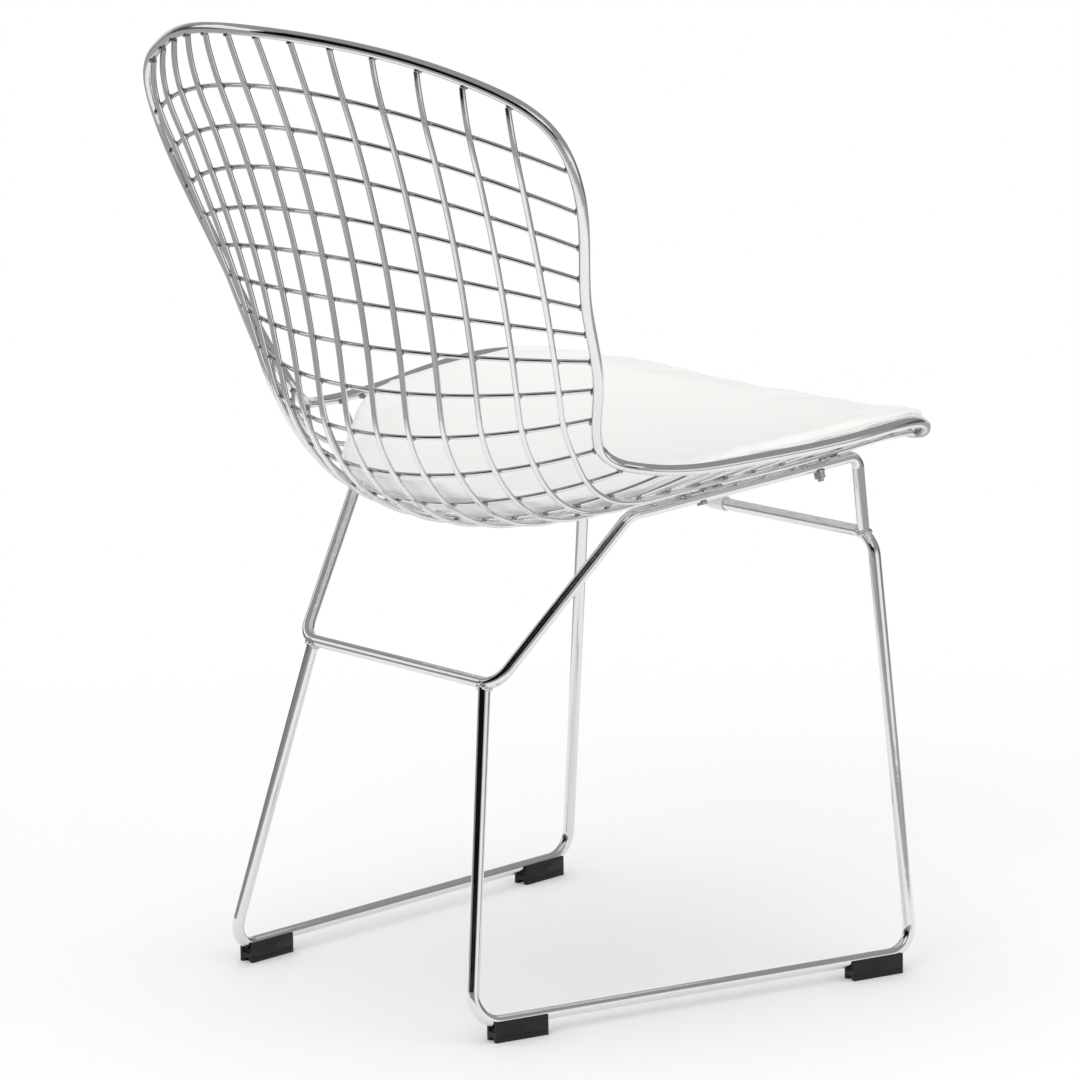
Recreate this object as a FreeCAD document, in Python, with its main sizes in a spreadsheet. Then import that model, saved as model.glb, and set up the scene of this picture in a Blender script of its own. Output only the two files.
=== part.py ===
import FreeCAD, Part
import math
import os
import Sketcher
from FreeCAD import Placement, Rotation, Vector

# Side chair: a welded wire shell on a sled base of bent rod, with a loose seat pad.
# Millimetres. +Z up, the sitter faces -Y, origin on the floor under the middle.

os.makedirs("parts", exist_ok=True)
doc = FreeCAD.newDocument("WireChair")
sheet = doc.addObject("Spreadsheet::Sheet", "dims")

SIZES = [
    # stock
    ("base_rod_d", 9.5, "base rod diameter"),
    ("rim_rod_d", 8.5, "rim rod diameter"),
    ("long_wire_d", 4.5, "long wire diameter"),
    ("cross_wire_d", 3.5, "cross wire diameter"),
    ("cross_gap", 0.1, "gap where two wires cross"),
    ("plate_gap", 0.25, "gap between a mounting plate and the wires on it"),
    ("end_gap", 0.5, "gap at the end of a wire or rod"),
    # rim, right half, from the crown round to the middle of the front
    ("crown_y", 285, "rim crown"),
    ("crown_z", 763.5, "rim crown"),
    ("crown_side_x", 122.5, "rim beside the crown"),
    ("crown_side_y", 261.5, "rim beside the crown"),
    ("crown_side_z", 754, "rim beside the crown"),
    ("shoulder_top_x", 199.5, "rim above the shoulder"),
    ("shoulder_top_y", 230, "rim above the shoulder"),
    ("shoulder_top_z", 733.5, "rim above the shoulder"),
    ("shoulder_x", 252.5, "rim at the shoulder"),
    ("shoulder_y", 203, "rim at the shoulder"),
    ("shoulder_z", 699.5, "rim at the shoulder"),
    ("shoulder_low_x", 257.5, "rim below the shoulder"),
    ("shoulder_low_y", 183.5, "rim below the shoulder"),
    ("shoulder_low_z", 651.5, "rim below the shoulder"),
    ("back_side_x", 232, "rim halfway down the back"),
    ("back_side_y", 158.5, "rim halfway down the back"),
    ("back_side_z", 572, "rim halfway down the back"),
    ("waist_x", 210.5, "rim at the waist"),
    ("waist_y", 130, "rim at the waist"),
    ("waist_z", 495.5, "rim at the waist"),
    ("bend_x", 192.5, "rim at the bend"),
    ("bend_y", 105, "rim at the bend"),
    ("bend_z", 442.5, "rim at the bend"),
    ("hip_x", 208.5, "rim at the hip"),
    ("hip_y", 82, "rim at the hip"),
    ("hip_z", 434, "rim at the hip"),
    ("thigh_x", 230, "rim beside the thigh"),
    ("thigh_y", 6.5, "rim beside the thigh"),
    ("thigh_z", 433, "rim beside the thigh"),
    ("seat_side_x", 249.5, "rim beside the seat"),
    ("seat_side_y", -86, "rim beside the seat"),
    ("seat_side_z", 441.5, "rim beside the seat"),
    ("corner_x", 237, "rim before the front corner"),
    ("corner_y", -165.5, "rim before the front corner"),
    ("corner_z", 444, "rim before the front corner"),
    ("front_corner_x", 194, "rim past the front corner"),
    ("front_corner_y", -216, "rim past the front corner"),
    ("front_corner_z", 427, "rim past the front corner"),
    ("front_side_x", 110, "rim beside the front middle"),
    ("front_side_y", -266, "rim beside the front middle"),
    ("front_side_z", 409.5, "rim beside the front middle"),
    ("front_y", -285, "rim at the front middle"),
    ("front_z", 405, "rim at the front middle"),
    # middle line of the shell, side view
    ("profile_setback", 8.9, "profile start in front of the crown"),
    ("profile_drop", 13.1, "profile start below the crown"),
    ("lean_top", 24.5, "lean of the back at its top, degrees"),
    ("lean_low", 5.3, "lean of the back at its foot, degrees"),
    ("back_length", 288.5, "length of the curved back"),
    ("bend_radius", 110.5, "radius between back and seat"),
    ("seat_rise", 5.9, "rise of the seat to the front, degrees"),
    # rows of cross wires along the middle line
    ("pitch_back", 34.4, "row pitch in the back"),
    ("pitch_bend", 36.1, "row pitch in the bend"),
    ("pitch_seat", 35.6, "row pitch in the seat"),
    # where the rows end on the rim, measured along it from the crown
    ("rim_row1", 313.8, "end of row 1"),
    ("rim_row3", 377, "end of row 3"),
    ("rim_row5", 428.9, "end of row 5"),
    ("rim_row7", 475.2, "end of row 7"),
    ("rim_row9", 528.2, "end of row 9"),
    ("rim_row12", 619, "end of row 12"),
    ("rim_row17", 734, "end of row 17"),
    ("rim_row22", 869.7, "end of row 22"),
    # spread of the long wires: the outermost one, measured along a row from the middle
    ("spread_row1", 232.5, "outermost long wire at row 1"),
    ("spread_row3", 222.7, "outermost long wire at row 3"),
    ("spread_row6", 207.3, "outermost long wire at row 6"),
    ("spread_row9", 195.9, "outermost long wire at row 9"),
    ("spread_row12", 182.4, "outermost long wire at row 12"),
    ("spread_row17", 181.4, "outermost long wire at row 17"),
    ("spread_row22", 173.2, "outermost long wire at row 22"),
    ("top_pitch", 39.2, "long wire pitch along the rim at the top"),
    ("front_pitch", 31, "long wire pitch along the rim at the front"),
    # sled rod
    ("runner_lift", 10.25, "floor to the underside of the runners"),
    ("runner_rear_x", 154, "rear end of a runner"),
    ("runner_rear_y", 214, "rear end of a runner"),
    ("runner_front_x", 214, "front end of a runner"),
    ("runner_front_y", -183, "front end of a runner"),
    ("leg_top_x", 107.6, "rear leg where it meets the rear bar"),
    ("front_bar_x", 177.3, "corner of the front bar"),
    ("front_bar_ahead", 47.9, "front bar in front of the front fixings"),
    ("front_bar_below", 58.66, "front bar below the front fixings"),
    ("runner_bend_r", 21, "bend between leg and runner"),
    ("front_bar_bend_r", 20, "bend at the end of the front bar"),
    # carrier rod
    ("rear_bar_x", 120.7, "corner of the rear bar"),
    ("rear_bar_behind", 168.09, "rear bar behind the rear fixings"),
    ("rear_bar_below", 130.93, "rear bar below the rear fixings"),
    ("rear_bar_bend_r", 20, "bend at the end of the rear bar"),
    ("post_x", 167, "foot of the post on the front bar"),
    ("rail_front_run", 41.6, "front end of a rail in front of its front fixing"),
    ("rail_rear_run", 70.7, "rear end of a rail behind its rear fixing"),
    ("rail_front_bend_r", 10, "bend at the front end of a rail"),
    ("rail_rear_bend_r", 15, "bend at the rear end of a rail"),
    # fixings between shell and rails
    ("front_fixing_row", 19.5, "row position of the front fixings"),
    ("rear_fixing_row", 15.5, "row position of the rear fixings"),
    ("plate_length", 22, "mounting plate along the rail"),
    ("plate_width", 37, "mounting plate across the wires"),
    ("plate_thick", 1.5, "mounting plate"),
    ("plate_corner_r", 3, "mounting plate corners"),
    ("flat_length", 27, "flat on top of the rail"),
    ("flat_top", 2.75, "flat on top of the rail, above its axis"),
    ("flat_under", 4.2, "washer's seat under the rail, below its axis"),
    ("flat_taper", 6, "run-out of the flats"),
    ("bolt_d", 5, "bolt shank"),
    ("hole_clear", 0.5, "bolt hole larger than the bolt"),
    ("thread_clear", 0.1, "nut bore larger than the bolt"),
    ("seat_gap", 0.1, "gap between clamped faces"),
    ("head_across", 8, "bolt head across flats"),
    ("head_height", 2.2, "bolt head"),
    ("nut_across", 8, "nut across flats"),
    ("nut_height", 5, "nut"),
    ("washer_d", 10, "washer"),
    ("washer_thick", 1, "washer"),
    ("bolt_end", 2.3, "bolt beyond the nut"),
    # glides
    ("glide_length", 46, "glide along the runner"),
    ("glide_width", 14, "glide"),
    ("glide_clear", 0.4, "glide channel round the rod"),
    ("glide_lip", 1.2, "glide walls above the rod's axis"),
    ("glide_groove_width", 7, "groove between the glide's two feet"),
    ("glide_groove_height", 3.2, "groove between the glide's two feet"),
    ("glide_rear_inset", 40, "rear glide from the end of the runner"),
    ("glide_front_inset", 36, "front glide from the end of the runner"),
    # sleeve on the front bar
    ("sleeve_length", 17, "sleeve"),
    ("sleeve_wall", 1.1, "sleeve"),
    ("sleeve_shift", 6, "sleeve's middle from the middle of the bar, to the sitter's left"),
    ("sleeve_clear", 0.15, "sleeve round the rod"),
    # seat pad
    ("pad_thick", 20, "seat pad"),
    ("pad_edge", 7, "seat pad at its edges"),
    ("pad_clear", 0.8, "seat pad above the cross wires"),
    ("pad_inset", 10.5, "seat pad edge from the rim's axis"),
    ("pad_rear_row", 10.3, "row position of the pad's rear edge"),
    ("pad_rear_rows", 3.6, "rows over which the rear edge rounds into the sides"),
    ("pad_rear_half", 25, "half width of the pad at its rear edge"),
    ("pad_front_row", 23.5, "row position of the pad's front edge"),
    ("pad_front_round", 24, "how far the front corners are rounded in"),
    ("pad_front_sink", 4.5, "how far the front edge sinks towards the rim"),
    ("pad_front_lift", 3.4, "lift of the front corners over the rim"),
    ("pad_side_trim", 6, "width left off beyond the last section at each side"),
]
for line, (alias, value, note) in enumerate(SIZES, start=1):
    sheet.set("A%d" % line, note)
    sheet.set("B%d" % line, str(value))
    sheet.setAlias("B%d" % line, alias)
doc.recompute()

ROWS = 22
HALF_LONG = 6
ROW_SEAT = 12
ROW_BEND = 8
X_AXIS = Vector(1, 0, 0)


def dim(alias):
    return float(sheet.get(alias))


def unit(vector):
    return Vector(vector).normalize()


def smooth(stations, values):
    """A smooth curve of values through the named stations."""
    curve = Part.BSplineCurve()
    points = [Vector(value, 0, 0) for value in values]
    curve.interpolate(Points=points, Parameters=[float(s) for s in stations])
    return lambda s: curve.value(s).x


# The rim: the right half of a closed loop, square to the middle plane at both ends.
names = ["crown_side", "shoulder_top", "shoulder", "shoulder_low", "back_side", "waist", "bend",
         "hip", "thigh", "seat_side", "corner", "front_corner", "front_side"]
crown = Vector(0, dim("crown_y"), dim("crown_z"))
front = Vector(0, dim("front_y"), dim("front_z"))
stops = [crown] + [Vector(dim(n + "_x"), dim(n + "_y"), dim(n + "_z")) for n in names] + [front]
chords = [0.0]
for k in range(1, len(stops)):
    chords.append(chords[-1] + (stops[k] - stops[k - 1]).Length)
rim_curve = Part.BSplineCurve()
rim_curve.interpolate(Points=stops, Parameters=chords, InitialTangent=X_AXIS, FinalTangent=X_AXIS * -1, Scale=False)
rim_half_length = rim_curve.length()


def rim_at(distance):
    """Point and tangent of the rim's axis at a distance along its right half from the crown."""
    u = rim_curve.parameterAtDistance(distance, rim_curve.FirstParameter)
    return rim_curve.value(u), unit(rim_curve.tangent(u)[0])


# The middle line of the shell: a curved back, a round bend, a straight seat.
lean_top = math.radians(dim("lean_top"))
lean_low = math.radians(dim("lean_low"))
seat_turn = math.radians(90 + dim("seat_rise"))
back_radius = dim("back_length") / (lean_top - lean_low)
bend_radius = dim("bend_radius")
bend_length = bend_radius * (seat_turn - lean_low)


def middle(distance):
    y = dim("crown_y") - dim("profile_setback")
    z = dim("crown_z") - dim("profile_drop")
    run = min(distance, dim("back_length"))
    angle = lean_top - run / back_radius
    y -= back_radius * (math.cos(angle) - math.cos(lean_top))
    z -= back_radius * (math.sin(lean_top) - math.sin(angle))
    run = min(distance - run, bend_length)
    angle = lean_low + run / bend_radius
    y -= bend_radius * (math.cos(lean_low) - math.cos(angle))
    z -= bend_radius * (math.sin(angle) - math.sin(lean_low))
    run = max(distance - dim("back_length") - bend_length, 0)
    y -= run * math.sin(seat_turn)
    z -= run * math.cos(seat_turn)
    return Vector(0, y, z)


def row_distance(row):
    run = min(row, ROW_BEND) * dim("pitch_back")
    run += min(max(row - ROW_BEND, 0), ROW_SEAT - ROW_BEND) * dim("pitch_bend")
    run += max(row - ROW_SEAT, 0) * dim("pitch_seat")
    return run


def by_row(prefix):
    """The values whose alias is the prefix and a row number, as a smooth curve over the rows."""
    rows = sorted(int(alias[len(prefix):]) for alias, value, note in SIZES if alias.startswith(prefix))
    return smooth(rows, [dim("%s%d" % (prefix, row)) for row in rows])


rim_distance = by_row("rim_row")
spread = by_row("spread_row")


def row_arc(row):
    """A row is an arc across the shell: its middle, its depth direction, radius and half turn."""
    centre = middle(row_distance(row))
    end, tangent = rim_at(rim_distance(row))
    depth = Vector(0, end.y, end.z) - centre
    sag = depth.Length
    radius = (end.x * end.x + sag * sag) / (2 * sag)
    turn = math.atan2(end.x, radius - sag)
    return centre, unit(depth), radius, turn


def surface(row, across):
    centre, depth, radius, turn = row_arc(row)
    angle = across / radius
    return centre + X_AXIS * (radius * math.sin(angle)) + depth * (radius * (1 - math.cos(angle)))


def outward(row, across):
    """Unit normal of the shell, pointing away from the sitter."""
    step = 0.02
    along = surface(row + step, across) - surface(row - step, across)
    side = surface(row, across + step) - surface(row, across - step)
    normal = unit(side.cross(along))
    if normal.y - normal.z < 0:
        normal = normal * -1
    return normal


# Paths of tangent arcs.
def arc_edge(start, tangent, end):
    chord = end - start
    side = chord - tangent * chord.dot(tangent)
    if side.Length * 0.25 < 0.001:
        return Part.LineSegment(start, end).toShape()
    radius = chord.Length ** 2 / (2 * side.Length)
    half = math.atan2(side.Length, chord.dot(tangent))
    side.normalize()
    middle_point = start + tangent * (radius * math.sin(half)) + side * (radius * (1 - math.cos(half)))
    return Part.Arc(start, middle_point, end).toShape()


def two_arcs(start, start_tangent, end, end_tangent):
    chord = end - start
    both = start_tangent + end_tangent
    spare = 1 - start_tangent.dot(end_tangent)
    if spare < 1e-9:
        reach = chord.dot(chord) / (4 * chord.dot(end_tangent))
    else:
        root = math.sqrt(chord.dot(both) ** 2 + 2 * spare * chord.dot(chord))
        reach = (root - chord.dot(both)) / (2 * spare)
    joint = (start + end + (start_tangent - end_tangent) * reach) * 0.5
    back_edge = arc_edge(end, end_tangent * -1, joint)
    return [arc_edge(start, start_tangent, joint), reverse(back_edge)]


def reverse(edge):
    first = edge.valueAt(edge.FirstParameter)
    last = edge.valueAt(edge.LastParameter)
    if isinstance(edge.Curve, Part.Line):
        return Part.LineSegment(last, first).toShape()
    half = edge.valueAt((edge.FirstParameter + edge.LastParameter) / 2)
    return Part.Arc(last, half, first).toShape()


def smooth_path(points, tangents):
    edges = []
    for k in range(len(points) - 1):
        edges += two_arcs(points[k], tangents[k], points[k + 1], tangents[k + 1])
    return edges


def bent_path(points, radii):
    """Straight runs joined by bends of the given radii at the inner points."""
    edges = []
    start = points[0]
    for k in range(1, len(points) - 1):
        before = unit(points[k - 1] - points[k])
        after = unit(points[k + 1] - points[k])
        half = math.acos(max(-1, min(1, before.dot(after)))) / 2
        reach = radii[k - 1] / math.tan(half)
        enter = points[k] + before * reach
        leave = points[k] + after * reach
        centre = points[k] + unit(before + after) * (radii[k - 1] / math.sin(half))
        crest = centre + unit(points[k] - centre) * radii[k - 1]
        edges.append(Part.LineSegment(start, enter).toShape())
        edges.append(Part.Arc(enter, crest, leave).toShape())
        start = leave
    edges.append(Part.LineSegment(start, points[-1]).toShape())
    return edges


def fused(name, shapes):
    group = doc.addObject("Part::MultiFuse", name)
    group.Shapes = shapes
    return group


def less(name, base, tool):
    cut = doc.addObject("Part::Cut", name)
    cut.Base = base
    cut.Tool = tool
    return cut


pieces = []


def keep(piece, node):
    piece.Label = node
    pieces.append(piece)
    return piece


def swept(node, edges, radius):
    """Round stock along a path, its radius an expression of named sizes."""
    path = doc.addObject("Part::Feature", node + "_path")
    path.Shape = Part.Wire(edges)
    first = edges[0]
    ring = doc.addObject("Part::Circle", node + "_ring")
    ring.setExpression("Radius", radius)
    start = first.valueAt(first.FirstParameter)
    ring.Placement = Placement(start, Rotation(Vector(0, 0, 1), first.tangentAt(first.FirstParameter)))
    rod = doc.addObject("Part::Sweep", node)
    rod.Sections = [ring]
    rod.Spine = (path, ["Edge%d" % (k + 1) for k in range(len(edges))])
    rod.Solid = True
    rod.Frenet = False
    return rod


def butt(target_radius, wire_radius, wire_dir, target_dir):
    """How far before the other rod's axis a square-cut end stops."""
    slope = abs(wire_dir.dot(target_dir))
    return (target_radius + dim("end_gap") + wire_radius * slope) / math.sqrt(1 - slope * slope)


# Rim: the right half swept, mirrored and joined.
rim_steps = 32
rim_nodes = [rim_at(rim_half_length * k / rim_steps) for k in range(1, rim_steps)]
rim_nodes = [(crown, X_AXIS)] + rim_nodes + [(front, X_AXIS * -1)]
rim_half = swept("rim_right", smooth_path([n[0] for n in rim_nodes], [n[1] for n in rim_nodes]), "dims.rim_rod_d / 2")
rim_other = doc.addObject("Part::Mirroring", "rim_left")
rim_other.Source = rim_half
rim_other.Normal = X_AXIS
rim = doc.addObject("Part::MultiFuse", "rim")
rim.Shapes = [rim_half, rim_other]
keep(rim, "rim")

rim_r = dim("rim_rod_d") / 2
long_r = dim("long_wire_d") / 2
cross_r = dim("cross_wire_d") / 2

# Cross wires: one arc each, butted against the rim at both ends.
for row in range(1, ROWS + 1):
    centre, depth, radius, turn = row_arc(row)
    end, rim_dir = rim_at(rim_distance(row))
    wire_dir = X_AXIS * math.cos(turn) + depth * math.sin(turn)
    angle = turn - butt(rim_r, cross_r, wire_dir, rim_dir) / radius
    ends = []
    for a in (-angle, 0, angle):
        ends.append(centre + X_AXIS * (radius * math.sin(a)) + depth * (radius * (1 - math.cos(a))))
    node = "cross_wire_%02d" % row
    keep(swept(node, [Part.Arc(ends[0], ends[1], ends[2]).toShape()], "dims.cross_wire_d / 2"), node)

# Long wires: they lie behind and under the cross wires and end on the rim.
long_drop = long_r + cross_r + dim("cross_gap")


def long_point(row, column):
    across = column / HALF_LONG * spread(row)
    return surface(row, across) + outward(row, across) * long_drop


def long_node(column):
    if column == 0:
        return "long_wire_middle"
    side = "left" if column > 0 else "right"
    return "long_wire_%s_%d" % (side, abs(column))


for column in range(-HALF_LONG, HALF_LONG + 1):
    nodes = [long_point(row, column) for row in range(1, ROWS + 1)]
    for place, distance in ((0, dim("top_pitch") * abs(column)),
                            (-1, rim_half_length - dim("front_pitch") * abs(column))):
        point, rim_dir = rim_at(distance)
        if column < 0:
            point = Vector(-point.x, point.y, point.z)
            rim_dir = Vector(rim_dir.x, -rim_dir.y, -rim_dir.z)
        wire_dir = unit(point - nodes[place])
        point = point - wire_dir * butt(rim_r, long_r, wire_dir, rim_dir)
        if place == 0:
            nodes = [point] + nodes
        else:
            nodes = nodes + [point]
    curve = Part.BSplineCurve()
    curve.interpolate(Points=nodes)
    tangents = [unit(curve.tangent(curve.parameter(p))[0]) for p in nodes]
    node = long_node(column)
    keep(swept(node, smooth_path(nodes, tangents), "dims.long_wire_d / 2"), node)

# Fixings: a plate under the two outermost long wires, bolted to the rail below it.
rod_r = dim("base_rod_d") / 2
fixings = {}
inner = HALF_LONG - 1
for end_name, row in (("front", dim("front_fixing_row")), ("rear", dim("rear_fixing_row"))):
    for side_name, side in (("left", 1), ("right", -1)):
        near = long_point(row, inner * side)
        far = long_point(row, (inner + 1) * side)
        ahead = long_point(row + 0.5, (inner + 0.5) * side) - long_point(row - 0.5, (inner + 0.5) * side)
        spot = (near + far) * 0.5
        fixings[end_name + "_" + side_name] = (spot, unit(far - near) * side, ahead)

plate_top = long_r + dim("plate_gap")
rail_depth = plate_top + dim("plate_thick") + dim("seat_gap") + dim("flat_top")
frames = {}
rails = {}
for side_name in ("left", "right"):
    axis_points = []
    for end_name in ("front", "rear"):
        spot, across, ahead = fixings[end_name + "_" + side_name]
        down = unit(across.cross(ahead))
        if down.z > 0:
            down = down * -1
        axis_points.append(spot + down * rail_depth)
        frames[end_name + "_" + side_name] = [spot, across, down]
    rails[side_name] = axis_points
for key, frame in frames.items():
    spot, across, down = frame
    axis_points = rails[key.split("_")[1]]
    rail_dir = unit(axis_points[0] - axis_points[1])
    # the plate and the flattened rail are square to the rail
    down = unit(down - rail_dir * down.dot(rail_dir))
    foot = spot + down * rail_depth
    centre = axis_points[0] if key.startswith("front") else axis_points[1]
    spot = centre - down * rail_depth
    frame[:] = [spot, rail_dir, down]


def fixing_place(key, depth):
    """Frame at a fixing: Z up out of the rail, X along the rail to the front."""
    spot, rail_dir, down = frames[key]
    up = down * -1
    return Placement(spot + down * depth, Rotation(rail_dir, up.cross(rail_dir), up, "ZXY"))


# Sled rod: one length from the left rear leg round both runners to the right rear leg.
runner_z = dim("runner_lift") + rod_r
front_fixing, rear_fixing = rails["left"]
front_bar_y = front_fixing.y - dim("front_bar_ahead")
front_bar_z = front_fixing.z - dim("front_bar_below")
rear_bar_y = rear_fixing.y + dim("rear_bar_behind")
rear_bar_z = rear_fixing.z - dim("rear_bar_below")
leg_top = Vector(dim("leg_top_x"), rear_bar_y, rear_bar_z)
runner_rear = Vector(dim("runner_rear_x"), dim("runner_rear_y"), runner_z)
runner_front = Vector(dim("runner_front_x"), dim("runner_front_y"), runner_z)
bar_corner = Vector(dim("front_bar_x"), front_bar_y, front_bar_z)
half = [leg_top, runner_rear, runner_front, bar_corner]
sled_points = half + [Vector(-p.x, p.y, p.z) for p in reversed(half)]
runner_r = dim("runner_bend_r")
bar_r = dim("front_bar_bend_r")
sled_path = bent_path(sled_points, [runner_r, runner_r, bar_r, bar_r, runner_r, runner_r])
sled = swept("sled_round", sled_path, "dims.base_rod_d / 2")


def along_rail(y):
    """The point of the left rail's axis at a place from front to back."""
    share = (y - rear_fixing.y) / (front_fixing.y - rear_fixing.y)
    return rear_fixing + (front_fixing - rear_fixing) * share


# Carrier rod: post, rail, brace and rear bar, one length from side to side.
rail_front = along_rail(front_fixing.y - dim("rail_front_run"))
rail_rear = along_rail(rear_fixing.y + dim("rail_rear_run"))
rear_corner = Vector(dim("rear_bar_x"), rear_bar_y, rear_bar_z)
# the post stands on the bend at the end of the front bar
bar_half = math.acos(unit(runner_front - bar_corner).dot(X_AXIS * -1)) / 2
bend_start = bar_corner.x - bar_r / math.tan(bar_half)
over = min(max(dim("post_x") - bend_start, 0), bar_r)
post_drop = bar_r - math.sqrt(bar_r ** 2 - over ** 2)
post_foot = Vector(dim("post_x"), front_bar_y, front_bar_z - post_drop)
half = [post_foot, rail_front, rail_rear, rear_corner]
carrier_points = half + [Vector(-p.x, p.y, p.z) for p in reversed(half)]
front_r = dim("rail_front_bend_r")
rear_r = dim("rail_rear_bend_r")
corner_r = dim("rear_bar_bend_r")
carrier_path = bent_path(carrier_points, [front_r, rear_r, corner_r, corner_r, rear_r, front_r])
carrier = swept("carrier_round", carrier_path, "dims.base_rod_d / 2")

# The rear legs are coped to the rear bar, and the posts to the front bar.
cope_radius = "dims.base_rod_d / 2 + dims.end_gap"
rear_bar = swept("rear_bar_cope", carrier_path[5:8], cope_radius)
front_bar = swept("front_bar_cope", sled_path[5:8], cope_radius)
keep(less("sled_rod", sled, rear_bar), "sled_rod")
coped_carrier = less("carrier_coped", carrier, front_bar)
doc.recompute()

# Each rail has a flat on top for the plate and a seat below for the washer, and is drilled.
taper = dim("flat_taper")
press_width = dim("base_rod_d") * 2
pressing = []
drills = []
for key in frames:
    place = fixing_place(key, rail_depth)
    for side_name, up, reach in (("top", 1, dim("flat_length") / 2), ("under", -1, dim("washer_d") / 2)):
        level = dim("flat_" + side_name) * up
        high = level + taper * up
        outline = [Vector(-reach, 0, level), Vector(reach, 0, level),
                   Vector(reach + taper * 2, 0, high), Vector(-reach - taper * 2, 0, high)]
        face = Part.Face(Part.makePolygon(outline + outline[:1]))
        tool = doc.addObject("Part::Feature", "press_%s_%s" % (key, side_name))
        tool.Shape = face.extrude(Vector(0, press_width, 0))
        tool.Placement = place.multiply(Placement(Vector(0, -press_width / 2, 0), Rotation()))
        pressing.append(tool)
    drill = doc.addObject("Part::Cylinder", "drill_" + key)
    drill.setExpression("Radius", "(dims.bolt_d + dims.hole_clear) / 2")
    drill.setExpression("Height", "dims.base_rod_d * 2")
    drill.Placement = place.multiply(Placement(Vector(0, 0, -dim("base_rod_d")), Rotation()))
    drills.append(drill)


pressed = less("carrier_pressed", coped_carrier, fused("presses", pressing))
keep(less("carrier_rod", pressed, fused("drills", drills)), "carrier_rod")


def origin_plane(body, role):
    return [f for f in body.Origin.OriginFeatures if f.Role == role][0]


def line(sketch, start, end):
    return sketch.addGeometry(Part.LineSegment(Vector(*start, 0), Vector(*end, 0)), False)


def new_sketch(body, name, role):
    sketch = body.newObject("Sketcher::SketchObject", name)
    sketch.AttachmentSupport = (origin_plane(body, role), [""])
    sketch.MapMode = "FlatFace"
    return sketch


def bind(sketch, kind, name, expression, *where):
    number = sketch.addConstraint(Sketcher.Constraint(kind, *where))
    sketch.renameConstraint(number, name)
    sketch.setExpression("Constraints." + name, expression)


def rectangle(sketch, length, width):
    """A rectangle centred on the sketch's origin, bound to two named sizes."""
    a = dim(length) / 2
    b = dim(width) / 2
    corners = [(-a, -b), (a, -b), (a, b), (-a, b)]
    ids = [line(sketch, corners[k], corners[(k + 1) % 4]) for k in range(4)]
    for k in range(4):
        sketch.addConstraint(Sketcher.Constraint("Coincident", ids[k], 2, ids[(k + 1) % 4], 1))
    sketch.addConstraint(Sketcher.Constraint("Horizontal", ids[0]))
    sketch.addConstraint(Sketcher.Constraint("Horizontal", ids[2]))
    sketch.addConstraint(Sketcher.Constraint("Vertical", ids[1]))
    sketch.addConstraint(Sketcher.Constraint("Vertical", ids[3]))
    sketch.addConstraint(Sketcher.Constraint("Symmetric", ids[0], 1, ids[2], 1, -1, 1))
    bind(sketch, "DistanceX", "length", "dims." + length, ids[0], 1, ids[0], 2, dim(length))
    bind(sketch, "DistanceY", "width", "dims." + width, ids[1], 1, ids[1], 2, dim(width))


def centred_hole(sketch, radius, expression):
    hole = sketch.addGeometry(Part.Circle(Vector(0, 0, 0), Vector(0, 0, 1), radius), False)
    sketch.addConstraint(Sketcher.Constraint("Coincident", hole, 3, -1, 1))
    bind(sketch, "Radius", "hole", expression, hole, radius)


# Plates, bolts, washers and nuts.
hole_r = (dim("bolt_d") + dim("hole_clear")) / 2
clamp = dim("plate_thick") + dim("seat_gap") + dim("flat_top") + dim("flat_under")
under_washer = clamp + dim("washer_thick") + 2 * dim("seat_gap")


def stack_place(key, depth):
    """Frame at a depth below the bolt's head. The front nuts are below the rail, the rear ones above."""
    if key.startswith("front"):
        return fixing_place(key, plate_top + depth)
    turned = Placement(Vector(), Rotation(X_AXIS, 180))
    return fixing_place(key, plate_top + clamp - depth).multiply(turned)


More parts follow.
